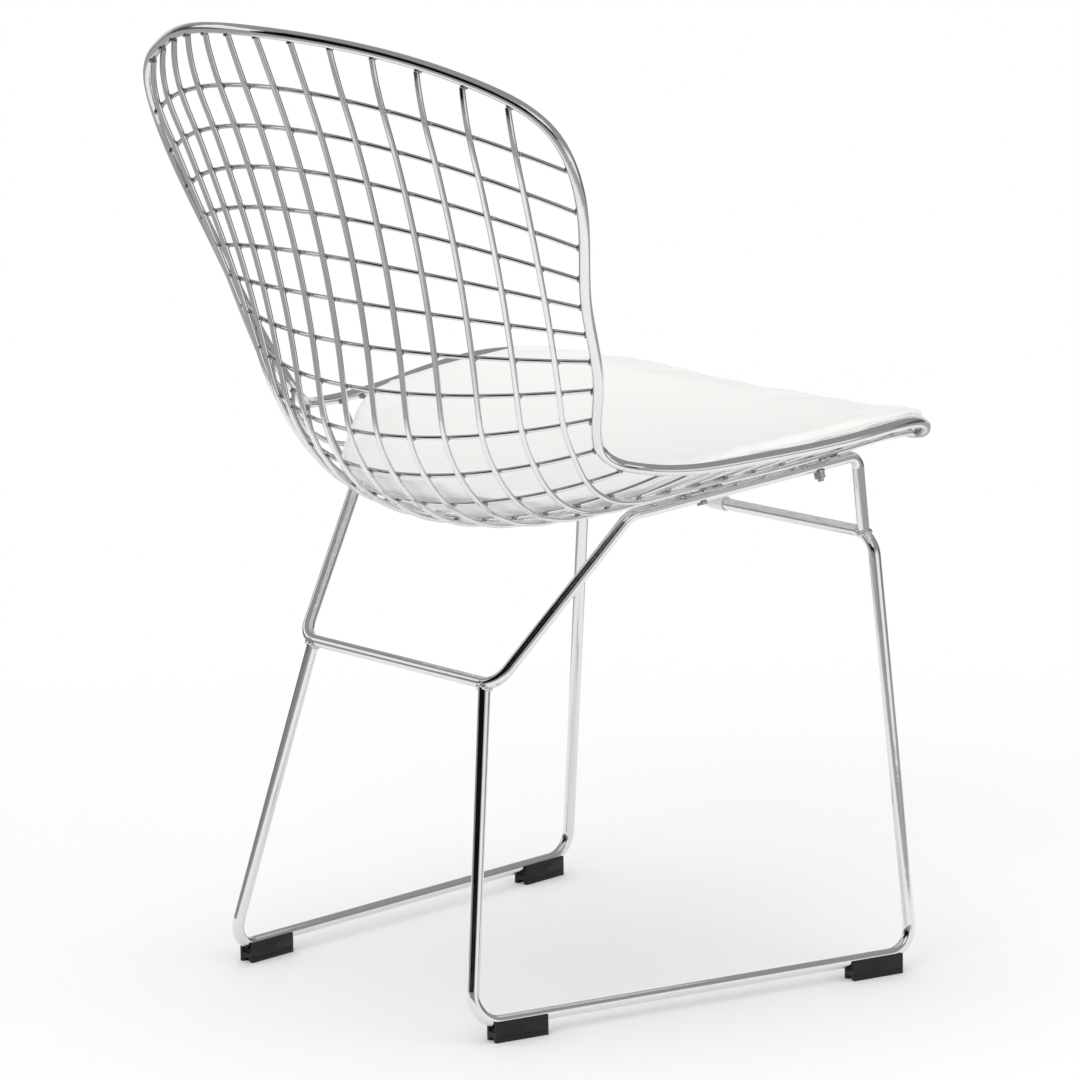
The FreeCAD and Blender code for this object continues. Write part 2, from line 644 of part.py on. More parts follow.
for key in frames:
    body = doc.addObject("PartDesign::Body", "mount_plate_" + key)
    sketch = new_sketch(body, "plate_outline_" + key, "XY_Plane")
    rectangle(sketch, "plate_length", "plate_width")
    centred_hole(sketch, hole_r, "(dims.bolt_d + dims.hole_clear) / 2")
    pad = body.newObject("PartDesign::Pad", "plate_pad_" + key)
    pad.Profile = sketch
    pad.setExpression("Length", "dims.plate_thick")
    pad.Reversed = True
    doc.recompute()
    upright = []
    for number, edge in enumerate(pad.Shape.Edges, start=1):
        low, high = [v.Point for v in (edge.Vertexes[0], edge.Vertexes[-1])]
        if abs(low.z - high.z) > dim("plate_thick") / 2 and abs(low.x) > dim("plate_length") / 4:
            upright.append("Edge%d" % number)
    rounded = body.newObject("PartDesign::Fillet", "plate_corners_" + key)
    rounded.Base = (pad, upright)
    rounded.setExpression("Radius", "dims.plate_corner_r")
    body.Tip = rounded
    body.Placement = fixing_place(key, plate_top)
    keep(body, "mount_plate_" + key)

    head = doc.addObject("Part::Prism", "bolt_head_" + key)
    head.Polygon = 6
    head.setExpression("Circumradius", "dims.head_across / 2 / cos(30)")
    head.setExpression("Height", "dims.head_height")
    head.Placement = Placement(Vector(0, 0, dim("seat_gap")), Rotation())
    shank = doc.addObject("Part::Cylinder", "bolt_shank_" + key)
    shank.setExpression("Radius", "dims.bolt_d / 2")
    shank.setExpression("Height", "dims.plate_thick + dims.flat_top + dims.flat_under + dims.washer_thick"
                                  " + dims.nut_height + dims.bolt_end + 4 * dims.seat_gap")
    shank_length = under_washer + dim("nut_height") + dim("bolt_end") + dim("seat_gap")
    shank.Placement = Placement(Vector(0, 0, dim("seat_gap") - shank_length), Rotation())
    bolt = fused("bolt_" + key, [head, shank])
    bolt.Placement = stack_place(key, 0)
    keep(bolt, "bolt_" + key)

    disc = doc.addObject("Part::Cylinder", "washer_disc_" + key)
    disc.setExpression("Radius", "dims.washer_d / 2")
    disc.setExpression("Height", "dims.washer_thick")
    disc.Placement = Placement(Vector(0, 0, -dim("washer_thick")), Rotation())
    eye = doc.addObject("Part::Cylinder", "washer_eye_" + key)
    eye.setExpression("Radius", "(dims.bolt_d + dims.hole_clear) / 2")
    eye.setExpression("Height", "dims.washer_thick * 3")
    eye.Placement = Placement(Vector(0, 0, -2 * dim("washer_thick")), Rotation())
    washer = less("washer_" + key, disc, eye)
    washer.Placement = stack_place(key, clamp + dim("seat_gap"))
    keep(washer, "washer_" + key)

    block = doc.addObject("Part::Prism", "nut_block_" + key)
    block.Polygon = 6
    block.setExpression("Circumradius", "dims.nut_across / 2 / cos(30)")
    block.setExpression("Height", "dims.nut_height")
    block.Placement = Placement(Vector(0, 0, -dim("nut_height")), Rotation())
    thread = doc.addObject("Part::Cylinder", "nut_thread_" + key)
    thread.setExpression("Radius", "(dims.bolt_d + dims.thread_clear) / 2")
    thread.setExpression("Height", "dims.nut_height * 3")
    thread.Placement = Placement(Vector(0, 0, -2 * dim("nut_height")), Rotation())
    nut = less("nut_" + key, block, thread)
    nut.Placement = stack_place(key, under_washer)
    keep(nut, "nut_" + key)

# Glides: an open channel that cradles the runner, on two long feet with a groove between.
channel_r = rod_r + dim("glide_clear")
lip = dim("glide_lip")
mouth = math.sqrt(channel_r ** 2 - lip ** 2)
run_dir = unit(runner_front - runner_rear)
for end_name, corner, way, inset in (("rear", runner_rear, 1, dim("glide_rear_inset")),
                                     ("front", runner_front, -1, dim("glide_front_inset"))):
    for side_name, side in (("left", 1), ("right", -1)):
        key = end_name + "_" + side_name
        body = doc.addObject("PartDesign::Body", "glide_" + key)
        sketch = new_sketch(body, "glide_section_" + key, "XZ_Plane")
        w = dim("glide_width") / 2
        top = runner_z + lip
        corners = [(-mouth, top), (-w, top), (-w, 0), (w, 0), (w, top), (mouth, top)]
        ids = [line(sketch, corners[k], corners[k + 1]) for k in range(5)]
        low = Vector(0, runner_z - channel_r, 0)
        trough = sketch.addGeometry(Part.Arc(Vector(-mouth, top, 0), low, Vector(mouth, top, 0)), False)
        for k in range(4):
            sketch.addConstraint(Sketcher.Constraint("Coincident", ids[k], 2, ids[k + 1], 1))
        for k in (0, 4):
            sketch.addConstraint(Sketcher.Constraint("Horizontal", ids[k]))
        for k in (1, 3):
            sketch.addConstraint(Sketcher.Constraint("Vertical", ids[k]))
        arc = sketch.Geometry[trough]
        starts_left = arc.StartPoint.x < 0
        sketch.addConstraint(Sketcher.Constraint("Coincident", trough, 1 if starts_left else 2, ids[0], 1))
        sketch.addConstraint(Sketcher.Constraint("Coincident", trough, 2 if starts_left else 1, ids[4], 2))
        sketch.addConstraint(Sketcher.Constraint("Symmetric", trough, 1, trough, 2, -2))
        sketch.addConstraint(Sketcher.Constraint("PointOnObject", ids[1], 2, -1))
        sketch.addConstraint(Sketcher.Constraint("Symmetric", ids[1], 2, ids[3], 1, -2))
        bind(sketch, "DistanceX", "width", "dims.glide_width", ids[2], 1, ids[2], 2, w * 2)
        bind(sketch, "DistanceY", "side", "dims.runner_lift + dims.base_rod_d / 2 + dims.glide_lip",
             ids[3], 1, ids[3], 2, top)
        bind(sketch, "Radius", "trough", "dims.base_rod_d / 2 + dims.glide_clear", trough, channel_r)
        bind(sketch, "DistanceY", "axis", "dims.runner_lift + dims.base_rod_d / 2", -1, 1, trough, 3, runner_z)
        block = body.newObject("PartDesign::Pad", "glide_block_" + key)
        block.Profile = sketch
        block.setExpression("Length", "dims.glide_length")
        block.SideType = "Symmetric"
        groove = new_sketch(body, "glide_groove_" + key, "XZ_Plane")
        a = dim("glide_groove_width") / 2
        rise = dim("glide_groove_height")
        curve = groove.addGeometry(Part.Arc(Vector(a, 0, 0), Vector(0, rise, 0), Vector(-a, 0, 0)), False)
        base = line(groove, (-a, 0), (a, 0))
        spans = groove.Geometry[curve].StartPoint.x < 0
        groove.addConstraint(Sketcher.Constraint("Coincident", curve, 1 if spans else 2, base, 1))
        groove.addConstraint(Sketcher.Constraint("Coincident", curve, 2 if spans else 1, base, 2))
        groove.addConstraint(Sketcher.Constraint("Symmetric", base, 1, base, 2, -1, 1))
        groove.addConstraint(Sketcher.Constraint("Horizontal", base))
        bind(groove, "DistanceX", "span", "dims.glide_groove_width", base, 1, base, 2, a * 2)
        bow = (a * a + rise * rise) / (2 * rise)
        bind(groove, "Radius", "bow", "(dims.glide_groove_width ^ 2 / 4 + dims.glide_groove_height ^ 2)"
             " / (2 * dims.glide_groove_height)", curve, bow)
        hollow = body.newObject("PartDesign::Pocket", "glide_hollow_" + key)
        hollow.Profile = groove
        hollow.Type = "ThroughAll"
        hollow.SideType = "Symmetric"
        body.Tip = hollow
        spot = corner + run_dir * (way * inset)
        spot = Vector(spot.x * side, spot.y, 0)
        heading = math.degrees(math.atan2(run_dir.x * side, -run_dir.y))
        body.Placement = Placement(spot, Rotation(Vector(0, 0, 1), heading))
        keep(body, "glide_" + key)

# Clear sleeve on the middle of the front bar.
skin = doc.addObject("Part::Cylinder", "sleeve_skin")
skin.setExpression("Radius", "dims.base_rod_d / 2 + dims.sleeve_clear + dims.sleeve_wall")
skin.setExpression("Height", "dims.sleeve_length")
core = doc.addObject("Part::Cylinder", "sleeve_core")
core.setExpression("Radius", "dims.base_rod_d / 2 + dims.sleeve_clear")
core.setExpression("Height", "dims.sleeve_length")
sleeve = less("bar_sleeve", skin, core)
sleeve_spot = Vector(dim("sleeve_shift") - dim("sleeve_length") / 2, front_bar_y, front_bar_z)
sleeve.Placement = Placement(sleeve_spot, Rotation(Vector(0, 1, 0), 90))
keep(sleeve, "bar_sleeve")


# Seat pad: upright sections that follow the shell from the rear edge to the front, lofted across.
first_row = dim("pad_rear_row")
last_row = dim("pad_front_row")


def front_ramp(row):
    return max(0, row - (last_row - 1))


def pad_half(row):
    """Half width of the pad at a row, along the row and straight across."""
    centre, depth, radius, turn = row_arc(row)
    side = radius * turn - dim("pad_inset") - dim("pad_front_round") * front_ramp(row) ** 2
    share = min(1, max(0, (row - first_row) / dim("pad_rear_rows")))
    reach = dim("pad_rear_half") + (side - dim("pad_rear_half")) * share ** 0.6
    return reach, radius * math.sin(reach / radius)


def row_at(x, inner, outer):
    """The row between two rows at which the pad's edge is at x."""
    if pad_half(outer)[1] >= x:
        return outer
    for k in range(24):
        half = (inner + outer) / 2
        if pad_half(half)[1] >= x:
            inner = half
        else:
            outer = half
    return inner


widest = max([r / 4 for r in range(56, 89)], key=lambda r: pad_half(r)[1])
side_x = pad_half(widest)[1] - dim("pad_side_trim")


def pad_section(x):
    rear = row_at(abs(x), widest, first_row)
    ahead = row_at(abs(x), widest, last_row)
    under = []
    upper = []
    steps = 12
    for k in range(steps + 1):
        row = rear + (ahead - rear) * k / steps
        radius = row_arc(row)[2]
        across = radius * math.asin(x / radius)
        level = 1 - min(1, abs(across) / pad_half(row)[0]) ** 2
        ramp = front_ramp(row)
        low = cross_r + dim("pad_clear")
        low += ramp * (dim("pad_front_lift") - dim("pad_front_sink") * level)
        swell = min(1, (row - first_row) / 2.5) * min(1, max(0, last_row - row) / 1.8) ** 1.5
        swell *= level
        thick = dim("pad_edge") + (dim("pad_thick") - dim("pad_edge")) * swell
        normal = outward(row, across) * -1
        flat_normal = unit(Vector(0, normal.y, normal.z))
        slant = flat_normal.dot(normal)
        point = surface(row, across)
        under.append(point + flat_normal * (low / slant))
        upper.append(point + flat_normal * ((low + thick) / slant))
    upper.reverse()
    edges = []
    for side in (under, upper):
        curve = Part.BSplineCurve()
        curve.interpolate(Points=side)
        edges.append(curve.toShape())
    edges.insert(1, Part.LineSegment(under[-1], upper[0]).toShape())
    edges.append(Part.LineSegment(upper[-1], under[0]).toShape())
    return Part.Wire(edges)


sections = []
for share in (-1, -0.95, -0.87, -0.76, -0.6, -0.4, -0.2, 0, 0.2, 0.4, 0.6, 0.76, 0.87, 0.95, 1):
    section = doc.addObject("Part::Feature", "pad_section_%d" % (len(sections) + 1))
    section.Shape = pad_section(side_x * share)
    sections.append(section)
seat_pad = doc.addObject("Part::Loft", "seat_pad")
seat_pad.Sections = sections
seat_pad.Solid = True
seat_pad.Ruled = False
keep(seat_pad, "seat_pad")

doc.recompute()

faults = []
for item in doc.Objects:
    if "Invalid" in item.State or "Error" in item.State:
        faults.append("%s: %s" % (item.Name, item.State))
for piece in pieces:
    shape = piece.Shape
    if shape.isNull() or not shape.isValid() or shape.Volume <= 0 or len(shape.Solids) != 1:
        faults.append("%s: shape" % piece.Label)
if faults:
    raise RuntimeError("; ".join(faults))

for piece in pieces:
    piece.Shape.exportStep("parts/%s.step" % piece.Label)
print(len(pieces), "pieces")
box = pieces[0].Shape.BoundBox
for piece in pieces[1:]:
    box.add(piece.Shape.BoundBox)
print("box", [round(v, 2) for v in (box.XMin, box.XMax, box.YMin, box.YMax, box.ZMin, box.ZMax)])
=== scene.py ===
import math

import bmesh
import bpy
from bpy.props import FloatProperty, FloatVectorProperty, IntProperty, PointerProperty, StringProperty
from mathutils import Matrix, Vector, noise
from mathutils.bvhtree import BVHTree
from mathutils.kdtree import KDTree


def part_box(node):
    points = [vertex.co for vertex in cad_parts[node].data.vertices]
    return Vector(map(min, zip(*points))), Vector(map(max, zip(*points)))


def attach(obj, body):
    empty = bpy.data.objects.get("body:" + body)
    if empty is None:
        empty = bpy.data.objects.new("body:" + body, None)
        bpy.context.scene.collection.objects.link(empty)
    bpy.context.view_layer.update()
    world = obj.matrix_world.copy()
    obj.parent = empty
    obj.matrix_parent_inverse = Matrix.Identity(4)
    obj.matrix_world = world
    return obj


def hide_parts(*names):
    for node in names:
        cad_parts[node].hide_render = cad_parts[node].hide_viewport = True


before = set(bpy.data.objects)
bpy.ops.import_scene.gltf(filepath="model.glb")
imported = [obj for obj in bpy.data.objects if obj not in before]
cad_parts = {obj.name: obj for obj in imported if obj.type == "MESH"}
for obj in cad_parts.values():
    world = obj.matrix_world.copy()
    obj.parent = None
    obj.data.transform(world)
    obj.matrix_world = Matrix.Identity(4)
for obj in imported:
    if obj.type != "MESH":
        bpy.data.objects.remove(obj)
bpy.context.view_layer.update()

bl_info = {
    "name": "Wire chair",
    "version": (1, 0, 0),
    "blender": (4, 5, 0),
    "location": "3D View > Sidebar > Chair",
    "description": "Dresses a wire mesh side chair: chrome, welds, seat pad, glides and studio",
    "category": "Object",
}

# lengths are in metres, except where a comment says millimetres
MM = 0.001
CROSS_WIRES = ["cross_wire_%02d" % row for row in range(1, 23)]
LONG_WIRES = (["long_wire_right_%d" % k for k in range(6, 0, -1)] + ["long_wire_middle"]
              + ["long_wire_left_%d" % k for k in range(1, 7)])
CORNERS = ["front_left", "front_right", "rear_left", "rear_right"]

# welds
WIRE_POINT_STEP = 5        # every fifth point of a long wire is enough to find where it crosses another
MEETING_TURNS = 8          # steps from surface to surface towards the place where they come closest
RIM_REACH = 0.004          # a wire's points this near to the rim's surface are its end
END_SPACING = 0.03         # a wire's two ends lie further apart than this
CROSS_END_SHARE = 0.85     # width of a cross wire's bead, as a share of a long wire's
END_DEPTH = 0.55           # height of a bead at the rim, as a share of its width
PLATE_WIRES = (5, 6)       # the long wires that lie on the mounting plates
PLATE_SHARES = (0.2, 0.8)  # where along a plate they are welded to it
PLATE_DEPTH = 0.45         # height of a bead on a plate, as a share of its width
# where a rod of the base ends on another, and the point that it comes from: left side, in millimetres
LEG_TOP = ((107.6, 160.0, 265.0), (154.0, 214.0, 15.0))
POST_FOOT = ((167.0, -175.8, 346.3), (165.9, -169.5, 408.6))
ROD_RADIUS = 4.75 * MM
PROBE_START = 0.016        # a ripple's place is probed from this far up the rod, over the length
PROBE_LENGTH = 0.03
RIPPLE_LIFT = 0.0002       # how far a ripple's middle stands off the metal
RIPPLE_SWELL = 0.12        # how much wider or narrower than the mean a ripple may be
RIPPLE_DEPTH = 0.75        # height of a ripple, as a share of its width

# the pad
PAD_MERGE = 0.00001        # points of the solid's triangles this near to each other are one
PAD_SHRINK = 0.0006        # the cover starts this much smaller than the solid, because it swells
PAD_UNDERSIDE = -0.35      # a normal with a lower z than this lies held on the wires
PAD_TOP = 0.2              # a normal with a higher z than this takes the creases
PAD_FRONT = -0.14          # the cover rises in front of this y, fully after the run
PAD_FRONT_RUN = 0.09
FILL_FRAMES = 20           # length of the cloth simulation
METAL_REACH = 0.012        # points this near to the metal are kept clear of it by the room
METAL_ROOM = 0.0004
WELT_STEPS = 300           # directions round the pad in which the welt's line is looked for
WELT_SMOOTHING = 3
# creases of the pad's cover: from, to, depth and half width, in millimetres
CREASES = (((-205, -60), (-60, -20), 0.9, 7.0), ((-195, -130), (-90, -60), 0.7, 6.0),
           ((200, -90), (80, -40), 0.8, 7.0), ((190, -150), (110, -110), 0.6, 6.0),
           ((-150, 60), (-40, 40), 0.7, 8.0), ((140, 70), (50, 30), 0.7, 8.0),
           ((-60, -230), (-20, -150), 0.6, 7.0), ((70, -225), (40, -160), 0.6, 7.0),
           ((-30, 30), (60, -60), 0.5, 10.0), ((-120, -190), (-150, -150), 0.6, 5.0))
CREASE_WANDER = 6          # millimetres that a crease may stray from its straight line
CREASE_WANDER_RATE = 0.02  # bends of a crease for each millimetre
CREASE_FADE = 20           # millimetres past each end, and before it, over which a crease fades
CREASE_ROLL = 0.45         # height of the roll beside a crease, as a share of its depth
CREASE_ROLL_AWAY = 1.7     # how far the roll lies from the crease, in half widths

# the glides: a tool that cuts into a face of the block, or joins it, is centred on that face, so half of its
# depth counts, and its height above the floor is a share of the glide's
MOULD_LINE_DEPTH = 0.0007
MOULD_LINE_WIDTH = 0.0005
MOULD_LINE_AT = 0.24
POCKET_DEPTH = 0.0036
POCKET_WIDTH = 1.3         # in widths of the groove between the feet
POCKET_TALL = 0.3          # a share of the glide's height
POCKET_AT = 0.62
PIP_RADIUS = 0.0014
PIP_DEPTH = 0.0008
PIP_AT = 0.56
GLIDE_EDGE = 0.0004        # width of the rounded edges

# the studio
FLOOR_SIZE = 30
# the camera sees the paper run out to white behind the chair, and the metal sees it end in a painted grey
# reflection that stands in for a dim room: how far from the chair towards the camera each fade has its middle,
# and its inner and outer radius
PAPER_FADE = (0.9, 0.95, 2.1)
REFLECTED_GREY_FADE = (0.0, 0.85, 1.3)
ROOM_RADIUS = 3.4
ROOM_HEIGHT = 4.4
ROOM_FADE = (0.85, 1.6)    # heights between which the screen's strips turn into the ceiling's grey
# what the metal sees round the chair: bearing from the camera, positive to its right, and the grey there
ROOM = ((-180, "#E8E8E8"), (-152, "#D8D8D8"), (-142, "#505050"), (-120, "#5A5A5A"), (-113, "#909090"),
        (6, "#8A8A8A"), (20, "#C8C8C8"), (28, "#FFFFFF"), (66, "#FFFFFF"), (80, "#A8A8A8"), (98, "#8A8A8A"),
        (112, "#5A5A5A"), (142, "#606060"), (152, "#D8D8D8"))
ROOM_END = 179.9           # the bearing at which the strips come back to the first grey
# cards between the chair and the screen: grey, from and to bearing, bottom and top
CARDS = (("tall_flag", "#101010", -98, -40, 0.42, 3.1), ("low_flag", "#101010", -42, 9, 0.75, 2.4),
         ("side_panel", "#FFFFFF", -134, -99, 0.75, 2.1))
CARD_SHARE = 0.94          # the edges of a card stand at this share of the screen's radius
CEILING_SIZE = (9, 9)
PANEL_SIZE = (1.7, 1.5)
PANEL_AWAY = 2.3           # the panel on the camera's side: its distance, its height and the height it faces
PANEL_HEIGHT = 2.25
PANEL_AIM = 0.5
# lamps: place, aim, size, and power as a share of the key light's
LAMPS = (("key_softbox", (-1.6, 2.6, 2.6), (0, 0, 0.4), (2.4, 1.8), 1.0),
         ("overhead_softbox", (0.3, -0.4, 3.2), (0, 0, 0.3), (3.0, 3.0), 0.8),
         ("side_softbox", (-3.0, -1.2, 1.4), (0, 0, 0.4), (1.2, 2.2), 0.35))


# colours and nodes

def linear(hex_colour):
    """An sRGB hex value as a linear RGBA colour."""
    channels = [int(hex_colour[k:k + 2], 16) / 255 for k in (1, 3, 5)]
    return tuple(c / 12.92 if c <= 0.04045 else ((c + 0.055) / 1.055) ** 2.4 for c in channels) + (1.0,)


def feed(tree, node, links):
    """Joins the sockets that feed a node."""
    for key, source in links.items():
        tree.links.new(source, node.inputs[key])


def add_node(tree, kind, settings=None, links=None, stops=()):
    """One shader node with its settings, the sockets that feed it and, on a ramp, its places and colours."""
    node = tree.nodes.new(kind)
    for key, value in (settings or {}).items():
        if isinstance(key, str) and hasattr(node, key):
            setattr(node, key, value)
        else:
            node.inputs[key].default_value = value
    feed(tree, node, links or {})
    for k, (place, hex_colour) in enumerate(stops):
        stop = node.color_ramp.elements[k] if k < 2 else node.color_ramp.elements.new(place)
        stop.position = place
        stop.color = linear(hex_colour)
    return node


def empty_tree(owner):
    """The node tree of a material or world, with nothing in it yet."""
    owner.use_nodes = True
    owner.node_tree.nodes.clear()
    return owner.node_tree


def new_material(name, settings=None):
    """A new material's tree, its shader, and the Object coordinates that its patterns follow."""
    tree = empty_tree(bpy.data.materials.new(name))
    shader = add_node(tree, "ShaderNodeBsdfPrincipled", settings)
    add_node(tree, "ShaderNodeOutputMaterial", links={"Surface": shader.outputs["BSDF"]})
    place = add_node(tree, "ShaderNodeTexCoord").outputs["Object"]
    return tree, shader, place


# meshes and places

def give(obj, material):
    """Gives a piece its one material."""
    obj.data.materials.clear()
    obj.data.materials.append(bpy.data.materials[material])


def select_only(obj):
    bpy.ops.object.select_all(action="DESELECT")
    obj.select_set(True)
    bpy.context.view_layer.objects.active = obj


def link_new(name, data):
    """A new object in the scene."""
    obj = bpy.data.objects.new(name, data)
    bpy.context.scene.collection.objects.link(obj)
    return obj


def apply_place(obj):
    """Puts a piece's place into its mesh, so that its object sits at the origin."""
    select_only(obj)
    bpy.ops.object.transform_apply(location=True, rotation=True, scale=True)


def apply_modifiers(obj):
    """Turns a piece's modifiers into its mesh."""
    select_only(obj)
    for modifier in list(obj.modifiers):
        bpy.ops.object.modifier_apply(modifier=modifier.name)


def finish_piece(obj, name, material, body, angle):
    """Names a piece, gives it its finish, and smooths its edges up to an angle in degrees."""
    obj.name = name
    obj.data.name = name
    give(obj, material)
    select_only(obj)
    bpy.ops.object.shade_smooth_by_angle(angle=math.radians(angle))
    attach(obj, body)


def join_copies(name, pattern, places):
    """One mesh that holds the pattern at each place."""
    mesh = bpy.data.meshes.new(name)
    build = bmesh.new()
    for place in places:
        build.from_mesh(pattern)
        build.verts.ensure_lookup_table()
        fresh = build.verts[-len(pattern.vertices):]
        bmesh.ops.transform(build, matrix=place, verts=fresh)
    build.to_mesh(mesh)
    build.free()
    return link_new(name, mesh)


def points_of(mesh):
    return [vertex.co.copy() for vertex in mesh.vertices]


def set_points(mesh, points):
    for vertex, point in zip(mesh.vertices, points):
        vertex.co = point


def node_points(name):
    return points_of(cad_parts[name].data)


def node_tree(name):
    """A search tree over a node's surface."""
    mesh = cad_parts[name].data
    return BVHTree.FromPolygons(points_of(mesh), [face.vertices for face in mesh.polygons])


def facing(normal, spin=0.0):
    """A turn that takes Z to a normal."""
    return normal.to_track_quat("Z", "Y").to_matrix().to_4x4() @ Matrix.Rotation(spin, 4, "Z")


def place_at(point, normal, across, thick, spin):
    return Matrix.Translation(point) @ facing(normal, spin) @ Matrix.Diagonal((across, across, thick, 1.0))


# sizes and colours a user would change

class StageSettings(bpy.types.PropertyGroup):
    azimuth: FloatProperty(
        name="Azimuth", description="Camera direction round the chair",
        default=math.radians(230.92), subtype="ANGLE")
    elevation: FloatProperty(
        name="Elevation", description="Camera height angle", default=math.radians(10.9), subtype="ANGLE")
    roll: FloatProperty(
        name="Roll", description="Camera roll", default=math.radians(-0.75), subtype="ANGLE")
    place: FloatVectorProperty(
        name="Camera place", description="Where the camera stands",
        default=(-3.49775, 2.85705, 1.20958), subtype="TRANSLATION", unit="LENGTH")
    lens: FloatProperty(
        name="Lens", description="Focal length in millimetres on a 36 mm sensor",
        default=194.22, unit="CAMERA")
    floor_colour: StringProperty(
        name="Floor colour", description="sRGB hex", default="#FCFCFC")
    ceiling_colour: StringProperty(
        name="Ceiling", description="sRGB hex of the ceiling that the metal sees", default="#9A9A9A")
    reflected_floor_grey: StringProperty(
        name="Dim room", description="sRGB hex of the floor that the metal sees past the paper",
        default="#AAAAAA")
    panel_colour: StringProperty(
        name="Panel", description="sRGB hex of the high panel on the camera's side that the metal sees",
        default="#F4F4F4")
    key_power: FloatProperty(
        name="Key light", description="Power of the large soft light", default=36.0, unit="POWER")
    fill_strength: FloatProperty(
        name="Fill light", description="Strength of the even light from all round", default=0.68)


class FinishSettings(bpy.types.PropertyGroup):
    chrome_colour: StringProperty(name="Chrome", description="sRGB hex", default="#E6E7E9")
    zinc_colour: StringProperty(name="Zinc plating", description="sRGB hex", default="#E6E7E9")
    leatherette_colour: StringProperty(name="Leatherette", description="sRGB hex", default="#ECEAE6")
    glide_colour: StringProperty(name="Glide plastic", description="sRGB hex", default="#151619")


class WeldSettings(bpy.types.PropertyGroup):
    spot_width: FloatProperty(
        name="Spot weld width", description="Across a nugget between two crossing wires",
        default=0.0049, unit="LENGTH")
    spot_height: FloatProperty(
        name="Spot weld height", description="Through a nugget between two crossing wires",
        default=0.0034, unit="LENGTH")
    rim_width: FloatProperty(
        name="Rim weld width", description="Across the bead round a wire's end at the rim",
        default=0.0068, unit="LENGTH")
    bead_width: FloatProperty(
        name="Bead width", description="Across one ripple of the beads that join the base's rods",
        default=0.0046, unit="LENGTH")
    ripples: IntProperty(name="Ripples", description="Ripples in one bead round a rod", default=18)


class PadSettings(bpy.types.PropertyGroup):
    voxel: FloatProperty(
        name="Cover mesh", description="Mesh size of the cover before it is stretched",
        default=0.0045, unit="LENGTH")
    pressure: FloatProperty(
        name="Filling pressure", description="How hard the foam pushes the cover out", default=4.0)
    top_swell: FloatProperty(
        name="Top swell", description="Most that the top may move", default=0.006, unit="LENGTH")
    under_swell: FloatProperty(
        name="Underside swell", description="Most that the underside may move", default=0.0006, unit="LENGTH")
    front_puff: FloatProperty(
        name="Front puff", description="How much the top rises at the front edge", default=0.006, unit="LENGTH")
    welt_d: FloatProperty(
        name="Welt", description="Diameter of the welt round the edge", default=0.0026, unit="LENGTH")


class GlideSettings(bpy.types.PropertyGroup):
    length: FloatProperty(
        name="Length", description="Glide along the runner", default=0.046, unit="LENGTH")
    width: FloatProperty(
        name="Width", description="Glide across the runner", default=0.014, unit="LENGTH")
    height: FloatProperty(
        name="Height", description="Floor to the top of the glide's walls", default=0.0162, unit="LENGTH")
    rod_height: FloatProperty(
        name="Rod height", description="Floor to the runner's axis", default=0.015, unit="LENGTH")
    channel: FloatProperty(
        name="Channel", description="Diameter of the channel that holds the runner",
        default=0.0103, unit="LENGTH")
    groove_width: FloatProperty(
        name="Groove width", description="Between the two feet", default=0.007, unit="LENGTH")
    groove_height: FloatProperty(
        name="Groove height", description="Between the two feet", default=0.0032, unit="LENGTH")


# materials

def chrome_plate():
    """Decorative chrome on drawn steel rod: a near mirror with a faint waviness left by hand polishing."""
    colour = linear(bpy.context.scene.chair_finish.chrome_colour)
    tree, shader, place = new_material("chrome_plate", {"Metallic": 1.0, "Base Color": colour})
    # polishing waves about 12 mm long, a few hundredths of a millimetre deep
    waves = add_node(tree, "ShaderNodeTexNoise", {"Scale": 80.0, "Detail": 2.0, "Roughness": 0.45},
                     {"Vector": place})
    bump = add_node(tree, "ShaderNodeBump", {"Strength": 0.12, "Distance": 0.0006},
                    {"Height": waves.outputs["Fac"]})
    # handling haze: cloudy patches about 36 mm across
    haze = add_node(tree, "ShaderNodeTexNoise", {"Scale": 28.0, "Detail": 4.0, "Roughness": 0.6},
                    {"Vector": place})
    rough = add_node(tree, "ShaderNodeMapRange",
                     {"From Min": 0.35, "From Max": 0.7, "To Min": 0.05, "To Max": 0.12},
                     {"Value": haze.outputs["Fac"]})
    feed(tree, shader, {"Normal": bump.outputs["Normal"], "Roughness": rough.outputs["Result"]})


def zinc_plate():
    """Bright zinc on turned steel hardware: a satin metal with slightly darker patches."""
    tree, shader, place = new_material("zinc_plate", {"Metallic": 1.0})
    # patches about 3 mm across
    patches = add_node(tree, "ShaderNodeTexNoise", {"Scale": 300.0, "Detail": 3.0}, {"Vector": place})
    ramp = add_node(tree, "ShaderNodeValToRGB", links={"Fac": patches.outputs["Fac"]},
                    stops=((0.35, "#CBCCCE"), (0.7, bpy.context.scene.chair_finish.zinc_colour)))
    rough = add_node(tree, "ShaderNodeMapRange", {"To Min": 0.1, "To Max": 0.24},
                     {"Value": patches.outputs["Fac"]})
    feed(tree, shader, {"Base Color": ramp.outputs["Color"], "Roughness": rough.outputs["Result"]})


